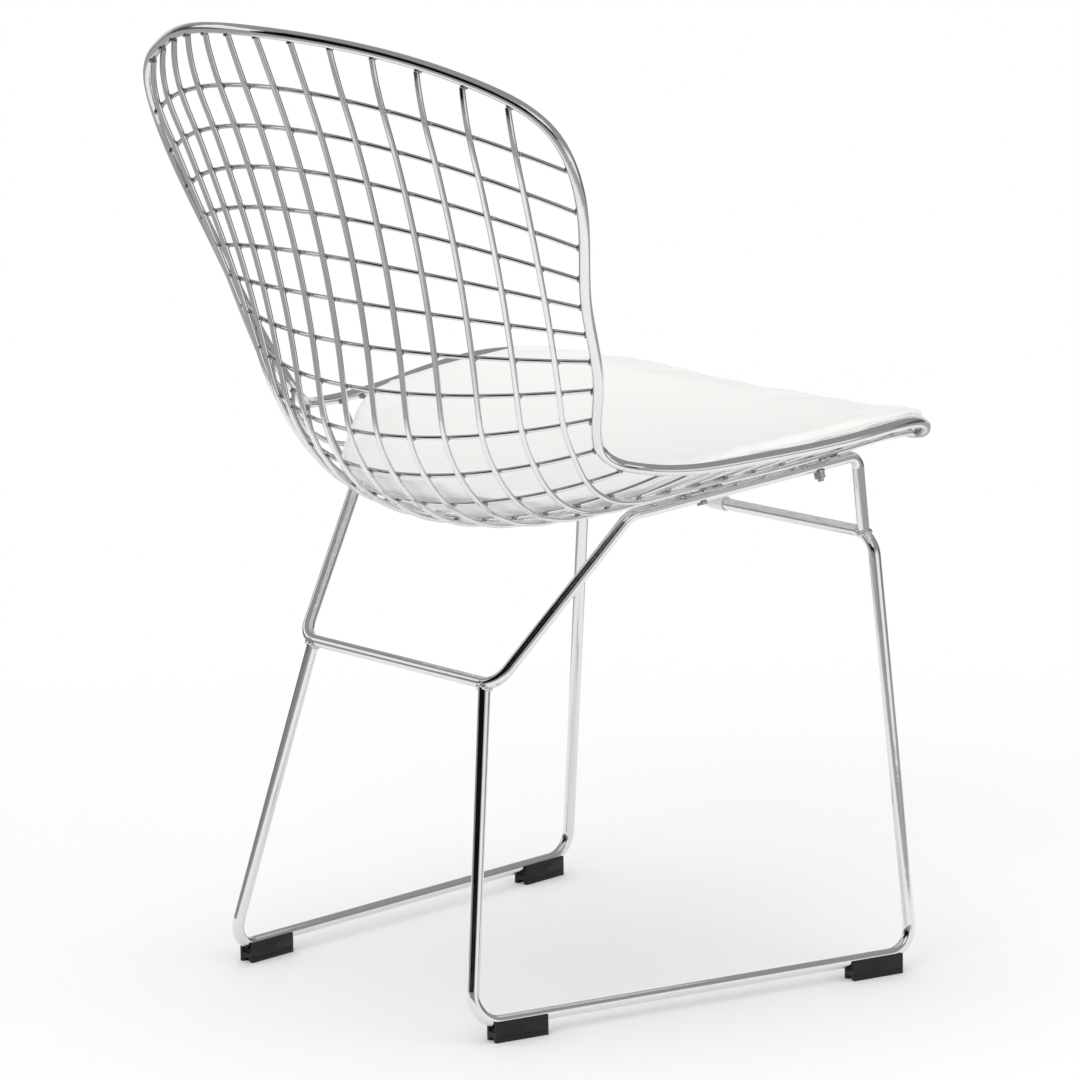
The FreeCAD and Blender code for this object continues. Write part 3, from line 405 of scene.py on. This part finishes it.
def leatherette():
    """White PVC leatherette on foam: a pebbled satin skin that has creased a little in use."""
    tree, shader, place = new_material("leatherette")
    # pebbles about 1.6 mm across, drawn a little coarser than the real grain so that they show
    pebbles = add_node(tree, "ShaderNodeTexVoronoi",
                       {"feature": "SMOOTH_F1", "Scale": 620.0, "Smoothness": 0.4}, {"Vector": place})
    # soft creases about 40 mm apart
    creases = add_node(tree, "ShaderNodeTexNoise",
                       {"Scale": 26.0, "Detail": 6.0, "Roughness": 0.62, "Distortion": 0.6},
                       {"Vector": place})
    height = add_node(tree, "ShaderNodeMix", {"data_type": "FLOAT", "Factor": 0.55},
                      {"A": pebbles.outputs["Distance"], "B": creases.outputs["Fac"]})
    bump = add_node(tree, "ShaderNodeBump", {"Strength": 0.35, "Distance": 0.0011},
                    {"Height": height.outputs["Result"]})
    # painted shade: the cover's colour is darker where the crease noise is low, in the hollows of the creases
    shade = add_node(tree, "ShaderNodeValToRGB", links={"Fac": creases.outputs["Fac"]},
                     stops=((0.3, "#E2DFDA"), (0.62, bpy.context.scene.chair_finish.leatherette_colour)))
    rough = add_node(tree, "ShaderNodeMapRange", {"To Min": 0.42, "To Max": 0.6},
                     {"Value": pebbles.outputs["Distance"]})
    feed(tree, shader, {"Normal": bump.outputs["Normal"], "Base Color": shade.outputs["Color"],
                        "Roughness": rough.outputs["Result"]})


def moulded_black():
    """Black polypropylene moulding: a fine spark-eroded texture with a faint flow bloom."""
    tree, shader, place = new_material("moulded_black", {"Roughness": 0.5, "Specular IOR Level": 0.3})
    # grit about 0.7 mm across, coarser than the real texture so that it shows, and bloom about 17 mm across
    grit = add_node(tree, "ShaderNodeTexNoise", {"Scale": 1400.0, "Detail": 2.0}, {"Vector": place})
    bump = add_node(tree, "ShaderNodeBump", {"Strength": 0.25, "Distance": 0.0003},
                    {"Height": grit.outputs["Fac"]})
    bloom = add_node(tree, "ShaderNodeTexNoise", {"Scale": 60.0, "Detail": 3.0}, {"Vector": place})
    ramp = add_node(tree, "ShaderNodeValToRGB", links={"Fac": bloom.outputs["Fac"]},
                    stops=((0.0, bpy.context.scene.chair_finish.glide_colour), (1.0, "#202125")))
    feed(tree, shader, {"Normal": bump.outputs["Normal"], "Base Color": ramp.outputs["Color"]})


def cloudy_vinyl():
    """Soft clear vinyl tube: milky, with a wet shine."""
    tree, shader, place = new_material("cloudy_vinyl",
                                       {"Roughness": 0.22, "Transmission Weight": 0.06, "IOR": 1.5})
    # clouds about 7 mm across
    cloud = add_node(tree, "ShaderNodeTexNoise", {"Scale": 150.0, "Detail": 3.0}, {"Vector": place})
    ramp = add_node(tree, "ShaderNodeValToRGB", links={"Fac": cloud.outputs["Fac"]},
                    stops=((0.0, "#F0F1F1"), (1.0, "#FCFCFC")))
    feed(tree, shader, {"Base Color": ramp.outputs["Color"]})


def plated_weld():
    """Chrome over untouched weld metal: lumpy, duller and darker than the drawn wire beside it."""
    tree, shader, place = new_material("plated_weld", {"Metallic": 1.0, "Roughness": 0.3})
    # stains and lumps about 2 mm across
    soot = add_node(tree, "ShaderNodeTexNoise", {"Scale": 500.0, "Detail": 3.0}, {"Vector": place})
    ramp = add_node(tree, "ShaderNodeValToRGB", links={"Fac": soot.outputs["Fac"]},
                    stops=((0.35, "#78787B"), (0.7, "#C2C2C5")))
    bump = add_node(tree, "ShaderNodeBump", {"Strength": 0.5, "Distance": 0.0005},
                    {"Height": soot.outputs["Fac"]})
    feed(tree, shader, {"Base Color": ramp.outputs["Color"], "Normal": bump.outputs["Normal"]})


def ground_weld():
    """Chrome over a bead that was brushed before plating: bright, with soft ripples."""
    tree, shader, place = new_material("ground_weld", {"Metallic": 1.0, "Base Color": linear("#D2D2D4")})
    # brushed patches about 1.4 mm across
    brush = add_node(tree, "ShaderNodeTexNoise", {"Scale": 700.0, "Detail": 2.0}, {"Vector": place})
    rough = add_node(tree, "ShaderNodeMapRange", {"To Min": 0.1, "To Max": 0.28},
                     {"Value": brush.outputs["Fac"]})
    feed(tree, shader, {"Roughness": rough.outputs["Result"]})


# the nuggets and beads that join the wires and rods

def weld_grain():
    """One nugget of weld metal, lumpy and a unit across."""
    bpy.ops.object.select_all(action="DESELECT")
    bpy.ops.mesh.primitive_uv_sphere_add(segments=8, ring_count=6, radius=0.5, location=(0, 0, 0))
    grain = bpy.context.object
    bpy.ops.object.mode_set(mode="EDIT")
    bpy.ops.mesh.select_all(action="SELECT")
    bpy.ops.transform.vertex_random(offset=0.03, seed=4)
    bpy.ops.object.mode_set(mode="OBJECT")
    return grain


def finder(points):
    """A search tree over points."""
    near = KDTree(len(points))
    for k, point in enumerate(points):
        near.insert(point, k)
    near.balance()
    return near


def meeting(tree_a, tree_b, start):
    """Halfway between two surfaces where they come closest near a start, and the normal there."""
    spot = start
    for turn in range(MEETING_TURNS):
        on_a = tree_a.find_nearest(spot)
        spot = tree_b.find_nearest(on_a[0])[0]
    return (on_a[0] + spot) / 2, on_a[1]


def clusters(points, gap):
    """The centres of groups of points that lie closer together than a gap."""
    groups = []
    for point in points:
        for group in groups:
            if (group[0] - point).length < gap:
                group.append(point)
                break
        else:
            groups.append([point])
    return [sum(group, Vector()) / len(group) for group in groups]


# the last number of each place_at turns a nugget, so that no two beside each other look alike

def crossing_places(trees, sizes):
    """A nugget wherever a cross wire lies on a long wire."""
    along = {name: node_points(name)[::WIRE_POINT_STEP] for name in LONG_WIRES}
    places = []
    for row, cross_name in enumerate(CROSS_WIRES):
        near = finder(node_points(cross_name))
        for column, long_name in enumerate(LONG_WIRES):
            start = min(along[long_name], key=lambda point: near.find(point)[2])
            point, normal = meeting(trees[cross_name], trees[long_name], start)
            places.append(place_at(point, normal, sizes.spot_width, sizes.spot_height,
                                   row * 1.7 + column * 2.3))
    return places


def rim_places(trees, sizes):
    """A bead where each wire ends on the rim."""
    near = finder(node_points("rim"))
    places = []
    for k, name in enumerate(CROSS_WIRES + LONG_WIRES):
        tips = [point for point in node_points(name) if near.find(point)[2] < RIM_REACH]
        width = sizes.rim_width * (1 if name in LONG_WIRES else CROSS_END_SHARE)
        for tip in clusters(tips, END_SPACING):
            point, normal = meeting(trees["rim"], trees[name], tip)
            places.append(place_at(point, normal, width, width * END_DEPTH, k * 1.3))
    return places


def plate_places(trees, sizes):
    """Two beads where each of the outer long wires lies on a mounting plate."""
    places = []
    for corner in CORNERS:
        plate = "mount_plate_" + corner
        plate_tree = node_tree(plate)
        lowest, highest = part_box(plate)
        for number in PLATE_WIRES:
            wire = trees["long_wire_%s_%d" % (corner.split("_")[1], number)]
            for share in PLATE_SHARES:
                start = (lowest + highest) / 2
                start.y = lowest.y + (highest.y - lowest.y) * share
                point, normal = meeting(plate_tree, wire, wire.find_nearest(start)[0])
                places.append(place_at(point, normal, sizes.rim_width, sizes.rim_width * PLATE_DEPTH,
                                       share))
    return places


def bead_round(tree, foot, way, sizes):
    """Ripples of weld metal round the end of a rod, where it stands on another rod."""
    turn = facing(way)
    places = []
    for k in range(sizes.ripples):
        angle = math.tau * k / sizes.ripples
        out = turn @ Vector((math.cos(angle), math.sin(angle), 0))
        side = foot + out * ROD_RADIUS
        hit = tree.ray_cast(side + way * PROBE_START, way * -1, PROBE_LENGTH)
        spot = hit[0] or tree.find_nearest(side)[0]
        swell = 1 + RIPPLE_SWELL * math.sin(k * 2.1)
        lean = (out + way).normalized()
        places.append(place_at(spot + lean * RIPPLE_LIFT, lean, sizes.bead_width * swell,
                               sizes.bead_width * RIPPLE_DEPTH, k * 0.9))
    return places


def base_places(trees, sizes):
    """A bead round the top of each rear leg and the foot of each front post."""
    places = []
    for side in (1, -1):
        for (foot, origin), rod in ((LEG_TOP, "carrier_rod"), (POST_FOOT, "sled_rod")):
            foot, origin = [Vector((p[0] * side, p[1], p[2])) * MM for p in (foot, origin)]
            places += bead_round(trees[rod], foot, (origin - foot).normalized(), sizes)
    return places


class CHAIR_OT_welds(bpy.types.Operator):
    """Sets a nugget at every wire crossing, a bead at every wire's end and round every joint of the base"""
    bl_idname = "chair.welds"
    bl_label = "Welds"

    def execute(self, context):
        sizes = context.scene.chair_welds
        trees = {name: node_tree(name)
                 for name in CROSS_WIRES + LONG_WIRES + ["rim", "sled_rod", "carrier_rod"]}
        grain = weld_grain()
        ends = rim_places(trees, sizes) + plate_places(trees, sizes)
        for name, places, material, slot in (
                ("crossing_welds", crossing_places(trees, sizes), "plated_weld", "chrome_wire"),
                ("end_welds", ends, "plated_weld", "chrome_wire"),
                ("base_welds", base_places(trees, sizes), "ground_weld", "chrome_rod")):
            finish_piece(join_copies(name, grain.data, places), name, material, "frame", angle=60)
        bpy.data.objects.remove(grain)
        return {"FINISHED"}


# the seat pad

def foam_shape(sizes):
    """The pad's solid as one even mesh, a little smaller."""
    cover = link_new("pad_cover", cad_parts["seat_pad"].data.copy())
    select_only(cover)
    bpy.ops.object.mode_set(mode="EDIT")
    bpy.ops.mesh.select_all(action="SELECT")
    bpy.ops.mesh.remove_doubles(threshold=PAD_MERGE)
    bpy.ops.mesh.normals_make_consistent(inside=False)
    bpy.ops.transform.shrink_fatten(value=-PAD_SHRINK)
    bpy.ops.object.mode_set(mode="OBJECT")
    cover.data.remesh_voxel_size = sizes.voxel
    bpy.ops.object.voxel_remesh()
    return cover


def fill_cover(cover, normals, sizes):
    """Stretches the cover by cloth with pressure inside, held where it lies on the wires."""
    held = cover.vertex_groups.new(name="on_the_wires")
    held.add([k for k, normal in enumerate(normals) if normal.z < PAD_UNDERSIDE], 1.0, "REPLACE")
    cloth = cover.modifiers.new("filling", "CLOTH")
    cloth.settings.quality = 5
    cloth.settings.use_pressure = True
    cloth.settings.uniform_pressure_force = sizes.pressure
    cloth.settings.effector_weights.gravity = 0
    cloth.settings.vertex_group_mass = "on_the_wires"
    cloth.point_cache.frame_end = FILL_FRAMES
    scene = bpy.context.scene
    for number in range(1, FILL_FRAMES + 1):
        scene.frame_set(number)
    apply_modifiers(cover)
    scene.frame_set(1)


def crease_depth(x, y):
    """Shallow creases where the cover has been pulled towards its corners and has bagged in use."""
    depth = 0.0
    for (x1, y1), (x2, y2), deep, wide in CREASES:
        run = Vector((x2 - x1, y2 - y1))
        length = run.length
        run.normalize()
        along = (x - x1) * run.x + (y - y1) * run.y
        wander = CREASE_WANDER * noise.noise(Vector((x * CREASE_WANDER_RATE, y * CREASE_WANDER_RATE, deep)))
        off = (y - y1) * run.x - (x - x1) * run.y + wander
        started = (along + CREASE_FADE) / (2 * CREASE_FADE)
        left = (length + CREASE_FADE - along) / (2 * CREASE_FADE)
        fade = min(1, max(0, started)) * min(1, max(0, left))
        roll = CREASE_ROLL * math.exp(-((off - wide * CREASE_ROLL_AWAY) / wide) ** 2)
        depth += deep * fade * (math.exp(-(off / wide) ** 2) - roll)
    return depth


def settled(start, normal, swollen, sizes):
    """Where a point of the cover comes to lie: swollen no more than it may, risen at the front, and creased."""
    move = swollen - start
    upward = max(0.0, normal.z)
    most = sizes.under_swell + (sizes.top_swell - sizes.under_swell) * upward
    if move.length > most:
        move *= most / move.length
    front = min(1.0, max(0.0, (PAD_FRONT - start.y) / PAD_FRONT_RUN))
    move.z += sizes.front_puff * front * upward
    if normal.z > PAD_TOP:
        move.z -= crease_depth(start.x / MM, start.y / MM) * MM * normal.z
    return start + move


def clear_of(point, trees):
    """A point moved off the metal that it would touch."""
    for tree in trees:
        spot, normal, face, distance = tree.find_nearest(point)
        depth = (point - spot).dot(normal)
        if distance < METAL_REACH and depth < METAL_ROOM:
            point = point + normal * (METAL_ROOM - depth)
    return point


def outline(points, centre, steps):
    """The widest line round a flat piece, smoothed."""
    widest = [None] * steps
    for point in points:
        out = point - centre
        k = int((math.atan2(out.y, out.x) / math.tau + 0.5) * steps) % steps
        if widest[k] is None or out.xy.length > (widest[k] - centre).xy.length:
            widest[k] = point
    ring = [point for point in widest if point is not None]
    for turn in range(WELT_SMOOTHING):
        count = len(ring)
        ring = [(ring[k - 1] + ring[k] * 2 + ring[(k + 1) % count]) / 4 for k in range(count)]
    return ring


def tube_round(name, ring, width):
    """A closed round cord through a ring of points."""
    curve = bpy.data.curves.new(name, "CURVE")
    curve.dimensions = "3D"
    curve.bevel_depth = width / 2
    curve.bevel_resolution = 2
    spline = curve.splines.new("POLY")
    spline.points.add(len(ring) - 1)
    for point, place in zip(spline.points, ring):
        point.co = (*place, 1)
    spline.use_cyclic_u = True
    obj = link_new(name, curve)
    select_only(obj)
    bpy.ops.object.convert(target="MESH")
    return obj


class CHAIR_OT_seat_pad(bpy.types.Operator):
    """Stretches a leatherette cover over the pad's foam and sews a welt round its edge"""
    bl_idname = "chair.seat_pad"
    bl_label = "Seat pad"

    def execute(self, context):
        sizes = context.scene.chair_pad
        cover = foam_shape(sizes)
        starts = points_of(cover.data)
        normals = [vertex.normal.copy() for vertex in cover.data.vertices]
        fill_cover(cover, normals, sizes)
        set_points(cover.data, [settled(start, normal, swollen, sizes) for start, normal, swollen
                                in zip(starts, normals, points_of(cover.data))])
        ease = cover.modifiers.new("ease", "SMOOTH")
        ease.factor = 0.5
        ease.iterations = 3
        apply_modifiers(cover)
        # the rim and the cross wires under the seat, which start with the tenth
        metal = [node_tree(name) for name in ["rim"] + CROSS_WIRES[9:]]
        points = [clear_of(point, metal) for point in points_of(cover.data)]
        set_points(cover.data, points)
        cover.data.update()
        softer = cover.modifiers.new("soft", "SUBSURF")
        softer.levels = 1
        softer.render_levels = 1
        apply_modifiers(cover)
        finish_piece(cover, "pad_cover", "leatherette", "pad", angle=180)
        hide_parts("seat_pad")

        lowest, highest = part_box("seat_pad")
        ring = outline(points, (lowest + highest) / 2, WELT_STEPS)
        welt = tube_round("pad_welt", ring, sizes.welt_d)
        finish_piece(welt, "pad_welt", "leatherette", "pad", angle=60)
        return {"FINISHED"}


# the glides

def cutter(kind, **placed):
    """A box, a rod along X or a pip along Y, placed to be cut from a block or joined to it."""
    bpy.ops.object.select_all(action="DESELECT")
    if kind == "BOX":
        bpy.ops.mesh.primitive_cube_add(size=1, **placed)
    elif kind == "ROD":
        bpy.ops.mesh.primitive_cylinder_add(vertices=48, radius=0.5, depth=1,
                                            rotation=(0, math.pi / 2, 0), **placed)
    else:
        bpy.ops.mesh.primitive_cylinder_add(vertices=16, radius=PIP_RADIUS, depth=PIP_DEPTH,
                                            rotation=(math.pi / 2, 0, 0), **placed)
    return bpy.context.object


def carve(obj, tool, operation="DIFFERENCE"):
    """Cuts a tool from a piece or joins it to it."""
    step = obj.modifiers.new("carve", "BOOLEAN")
    step.operation = operation
    step.object = tool
    step.solver = "EXACT"
    apply_modifiers(obj)
    bpy.data.objects.remove(tool)


def glide_block(sizes):
    """One glide at the origin, along X."""
    length, width, height = sizes.length, sizes.width, sizes.height
    block = cutter("BOX", location=(0, 0, height / 2), scale=(length, width, height))
    apply_place(block)
    carve(block, cutter("ROD", location=(0, 0, sizes.rod_height),
                        scale=(sizes.channel, sizes.channel, length * 2)))
    carve(block, cutter("BOX", location=(0, 0, 0),
                        scale=(length * 2, sizes.groove_width, sizes.groove_height * 2)))
    for side in (1, -1):
        # a fine line along each side where the halves of the mould met, and a pocket in each end
        carve(block, cutter("BOX", location=(0, side * width / 2, height * MOULD_LINE_AT),
                            scale=(length * 2, MOULD_LINE_DEPTH, MOULD_LINE_WIDTH)))
        carve(block, cutter("BOX", location=(side * length / 2, 0, height * POCKET_AT),
                            scale=(POCKET_DEPTH, sizes.groove_width * POCKET_WIDTH, height * POCKET_TALL)))
    for side in (1, -1):
        # a pip on each side, left by the mould
        carve(block, cutter("PIP", location=(0, side * width / 2, height * PIP_AT)), "UNION")
    edges = block.modifiers.new("edges", "BEVEL")
    edges.width = GLIDE_EDGE
    edges.segments = 2
    edges.limit_method = "ANGLE"
    edges.angle_limit = math.radians(40)
    apply_modifiers(block)
    return block


class CHAIR_OT_glides(bpy.types.Operator):
    """Moulds each glide with a channel for the runner, a groove between its feet and marks from the mould"""
    bl_idname = "chair.glides"
    bl_label = "Glides"

    def execute(self, context):
        block = glide_block(context.scene.chair_glides)
        middles = {corner: sum(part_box("glide_" + corner), Vector()) / 2 for corner in CORNERS}
        for corner in CORNERS:
            side = corner.split("_")[1]
            run = middles["front_" + side] - middles["rear_" + side]
            heading = math.atan2(run.y, run.x) + (math.pi if corner.startswith("rear") else 0)
            turn = Matrix.Rotation(heading, 4, "Z")
            floor = Vector((middles[corner].x, middles[corner].y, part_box("glide_" + corner)[0].z))
            glide = join_copies("glide_moulding_" + corner, block.data, [Matrix.Translation(floor) @ turn])
            finish_piece(glide, glide.name, "moulded_black", "frame", angle=40)
            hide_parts("glide_" + corner)
        bpy.data.objects.remove(block)
        return {"FINISHED"}


# the finishes

class CHAIR_OT_finishes(bpy.types.Operator):
    """Makes the finishes and gives every rod, wire, fastener and moulding its own"""
    bl_idname = "chair.finishes"
    bl_label = "Finishes"

    def execute(self, context):
        for make in (chrome_plate, zinc_plate, moulded_black, leatherette, cloudy_vinyl, plated_weld,
                     ground_weld):
            make()
        for name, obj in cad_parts.items():
            if name.startswith(("bolt_", "washer_", "nut_")):
                give(obj, "zinc_plate")
            elif name.startswith("glide_"):
                give(obj, "moulded_black")
            elif name == "bar_sleeve":
                give(obj, "cloudy_vinyl")
            elif name == "seat_pad":
                give(obj, "leatherette")
            else:
                give(obj, "chrome_plate")
        return {"FINISHED"}


# the studio

def camera_side(settings):
    """The way from the chair towards the camera, along the floor."""
    return Vector((math.sin(settings.azimuth), -math.cos(settings.azimuth), 0))


def studio_floor(settings):
    """A seamless paper floor: grey-white near the chair, fading to the white background behind it."""
    tree, shader, place = new_material("studio_floor", {"Base Color": linear(settings.floor_colour),
                                                        "Roughness": 0.7, "Specular IOR Level": 0.2})
    path = add_node(tree, "ShaderNodeLightPath")
    look = shader.outputs["BSDF"]
    # past the paper the camera sees a white glow, and the metal sees a painted grey reflection of the floor
    for (away, near, far), ray, colour in ((PAPER_FADE, "Is Camera Ray", "#FFFFFF"),
                                           (REFLECTED_GREY_FADE, "Is Glossy Ray", settings.reflected_floor_grey)):
        reach = add_node(tree, "ShaderNodeVectorMath",
                         {"operation": "DISTANCE", 1: camera_side(settings) * away}, {0: place})
        fade = add_node(tree, "ShaderNodeMapRange",
                        {"interpolation_type": "SMOOTHSTEP", "From Min": near, "From Max": far},
                        {"Value": reach.outputs["Value"]})
        amount = add_node(tree, "ShaderNodeMath", {"operation": "MULTIPLY"},
                          {0: fade.outputs["Result"], 1: path.outputs[ray]})
        paper = add_node(tree, "ShaderNodeEmission", {"Color": linear(colour), "Strength": 1.0})
        mix = add_node(tree, "ShaderNodeMixShader",
                       links={0: amount.outputs["Value"], 1: look, 2: paper.outputs["Emission"]})
        look = mix.outputs["Shader"]
    feed(tree, tree.get_output_node("ALL"), {"Surface": look})


def glow_material(name, colour="#FFFFFF"):
    """A new material's tree and the plain glow of one colour in it."""
    tree = empty_tree(bpy.data.materials.new(name))
    glow = add_node(tree, "ShaderNodeEmission", {"Color": linear(colour), "Strength": 1.0})
    add_node(tree, "ShaderNodeOutputMaterial", links={"Surface": glow.outputs["Emission"]})
    return tree, glow


def metal_only(card, name):
    """A card that only the metal sees, as a photographer hangs round chrome to draw its edges."""
    card.name = name
    give(card, name)
    card.visible_camera = False
    card.visible_diffuse = False
    card.visible_shadow = False
    card.visible_transmission = False


def glow_card(name, colour, size, place, aim):
    """A flat card of one colour that faces a point."""
    bpy.ops.object.select_all(action="DESELECT")
    bpy.ops.mesh.primitive_plane_add(size=1, location=place,
                                     rotation=(aim - place).to_track_quat("Z", "Y").to_euler())
    card = bpy.context.object
    card.scale = (*size, 1)
    glow_material(name, colour)
    metal_only(card, name)


def room_wall(settings):
    """A round screen of dark and light strips, which only the metal reflects."""
    bpy.ops.object.select_all(action="DESELECT")
    bpy.ops.mesh.primitive_cylinder_add(vertices=96, radius=ROOM_RADIUS, depth=ROOM_HEIGHT,
                                        end_fill_type="NOTHING", location=(0, 0, ROOM_HEIGHT / 2))
    wall = bpy.context.object
    apply_place(wall)
    tree, glow = glow_material("room_wall")
    place = add_node(tree, "ShaderNodeTexCoord")
    parts = add_node(tree, "ShaderNodeSeparateXYZ", links={"Vector": place.outputs["Object"]})
    # the bearing round the chair, as a share of a turn with the camera at its half
    bearing = add_node(tree, "ShaderNodeMath", {"operation": "ARCTAN2"},
                       {0: parts.outputs["Y"], 1: parts.outputs["X"]})
    turned = add_node(tree, "ShaderNodeMath",
                      {"operation": "MULTIPLY_ADD", 1: 1 / math.tau,
                       2: 0.5 - (settings.azimuth - math.pi / 2) / math.tau},
                      {0: bearing.outputs["Value"]})
    around = add_node(tree, "ShaderNodeMath", {"operation": "FRACT"}, {0: turned.outputs["Value"]})
    strips = add_node(tree, "ShaderNodeValToRGB", links={"Fac": around.outputs["Value"]},
                      stops=[(angle / 360 + 0.5, grey) for angle, grey in ROOM + ((ROOM_END, ROOM[0][1]),)])
    height = add_node(tree, "ShaderNodeMapRange", {"From Min": ROOM_FADE[0], "From Max": ROOM_FADE[1]},
                      {"Value": parts.outputs["Z"]})
    # inputs 6 and 7 and output 2 are the node's colours
    blend = add_node(tree, "ShaderNodeMix", {"data_type": "RGBA", 7: linear(settings.ceiling_colour)},
                     {"Factor": height.outputs["Result"], 6: strips.outputs["Color"]})
    feed(tree, glow, {"Color": blend.outputs[2]})
    metal_only(wall, "room_wall")


def hang_cards(settings):
    """The ceiling, the panel on the camera's side and the cards in front of the screen."""
    glow_card("ceiling_card", settings.ceiling_colour, CEILING_SIZE, Vector((0, 0, ROOM_HEIGHT)),
              Vector((0, 0, 0)))
    glow_card("panel_card", settings.panel_colour, PANEL_SIZE,
              camera_side(settings) * PANEL_AWAY + Vector((0, 0, PANEL_HEIGHT)), Vector((0, 0, PANEL_AIM)))
    for name, grey, first, last, bottom, top in CARDS:
        half = math.radians(last - first) / 2
        heading = settings.azimuth - math.pi / 2 + math.radians(first + last) / 2
        distance = ROOM_RADIUS * CARD_SHARE * math.cos(half)
        middle = Vector((math.cos(heading) * distance, math.sin(heading) * distance, (bottom + top) / 2))
        size = (distance * math.tan(half) * 2, top - bottom)
        glow_card(name, grey, size, middle, Vector((0, 0, middle.z)))


def studio_light(scene, strength):
    """Even light from all round, which the camera and what shines see as white."""
    scene.world = bpy.data.worlds.new("studio_light")
    tree = empty_tree(scene.world)
    path = add_node(tree, "ShaderNodeLightPath")
    seen = path.outputs["Is Camera Ray"]
    for ray in ("Is Glossy Ray", "Is Transmission Ray"):
        seen = add_node(tree, "ShaderNodeMath", {"operation": "MAXIMUM"},
                        {0: seen, 1: path.outputs[ray]}).outputs["Value"]
    fill = add_node(tree, "ShaderNodeBackground", {"Color": linear("#FFFFFF"), "Strength": strength})
    white = add_node(tree, "ShaderNodeBackground", {"Color": linear("#FFFFFF"), "Strength": 1.0})
    mix = add_node(tree, "ShaderNodeMixShader",
                   links={0: seen, 1: fill.outputs["Background"], 2: white.outputs["Background"]})
    add_node(tree, "ShaderNodeOutputWorld", links={"Surface": mix.outputs["Shader"]})


def photo_camera(scene, settings):
    """A camera where the photograph was taken from."""
    camera = bpy.data.cameras.new("photo_camera")
    camera.sensor_width = 36.0
    camera.lens = settings.lens
    camera.clip_end = 100.0
    a, e, r = settings.azimuth, settings.elevation, settings.roll
    back = Vector((math.sin(a) * math.cos(e), -math.cos(a) * math.cos(e), math.sin(e)))
    right = Vector((math.cos(a), math.sin(a), 0))
    up = back.cross(right)
    turned_right = right * math.cos(r) + up * math.sin(r)
    turned_up = up * math.cos(r) - right * math.sin(r)
    pose = Matrix((turned_right, turned_up, back)).transposed().to_4x4()
    pose.translation = Vector(settings.place)
    scene.camera = link_new("photo_camera", camera)
    scene.camera.matrix_world = pose


def softbox(name, place, aim, size, power):
    """A soft lamp that lights the chair and isn't mirrored in it."""
    light = bpy.data.lights.new(name, "AREA")
    light.shape = "RECTANGLE"
    light.size, light.size_y = size
    light.energy = power
    lamp = link_new(name, light)
    lamp.visible_glossy = False
    way = Vector(aim) - Vector(place)
    lamp.matrix_world = Matrix.Translation(place) @ way.to_track_quat("-Z", "Y").to_matrix().to_4x4()


class CHAIR_OT_stage(bpy.types.Operator):
    """Builds the pale floor, the soft studio light and the camera"""
    bl_idname = "chair.stage"
    bl_label = "Stage"

    def execute(self, context):
        scene = context.scene
        settings = scene.chair_stage
        bpy.ops.object.select_all(action="DESELECT")
        bpy.ops.mesh.primitive_plane_add(size=FLOOR_SIZE, location=(0, 0, 0))
        floor = context.object
        floor.name = "studio_floor"
        studio_floor(settings)
        give(floor, "studio_floor")
        room_wall(settings)
        hang_cards(settings)
        studio_light(scene, settings.fill_strength)
        photo_camera(scene, settings)
        for name, place, aim, size, share in LAMPS:
            softbox(name, place, aim, size, settings.key_power * share)
        scene.view_settings.view_transform = "Standard"
        return {"FINISHED"}


class CHAIR_PT_panel(bpy.types.Panel):
    """Lists the chair's pieces"""
    bl_idname = "CHAIR_PT_panel"
    bl_label = "Wire chair"
    bl_space_type = "VIEW_3D"
    bl_region_type = "UI"
    bl_category = "Chair"

    def draw(self, context):
        for operator in OPERATORS:
            self.layout.operator(operator.bl_idname)


SETTINGS = (("chair_stage", StageSettings), ("chair_finish", FinishSettings), ("chair_welds", WeldSettings),
            ("chair_pad", PadSettings), ("chair_glides", GlideSettings))
OPERATORS = (CHAIR_OT_finishes, CHAIR_OT_welds, CHAIR_OT_seat_pad, CHAIR_OT_glides, CHAIR_OT_stage)


def register():
    for name, group in SETTINGS:
        bpy.utils.register_class(group)
        setattr(bpy.types.Scene, name, PointerProperty(type=group))
    for operator in OPERATORS:
        bpy.utils.register_class(operator)
    bpy.utils.register_class(CHAIR_PT_panel)


def unregister():
    bpy.utils.unregister_class(CHAIR_PT_panel)
    for operator in reversed(OPERATORS):
        bpy.utils.unregister_class(operator)
    for name, group in reversed(SETTINGS):
        delattr(bpy.types.Scene, name)
        bpy.utils.unregister_class(group)


def main():
    register()
    bpy.ops.chair.finishes()
    bpy.ops.chair.welds()
    bpy.ops.chair.seat_pad()
    bpy.ops.chair.glides()
    bpy.ops.chair.stage()


if __name__ == "__main__":
    main()
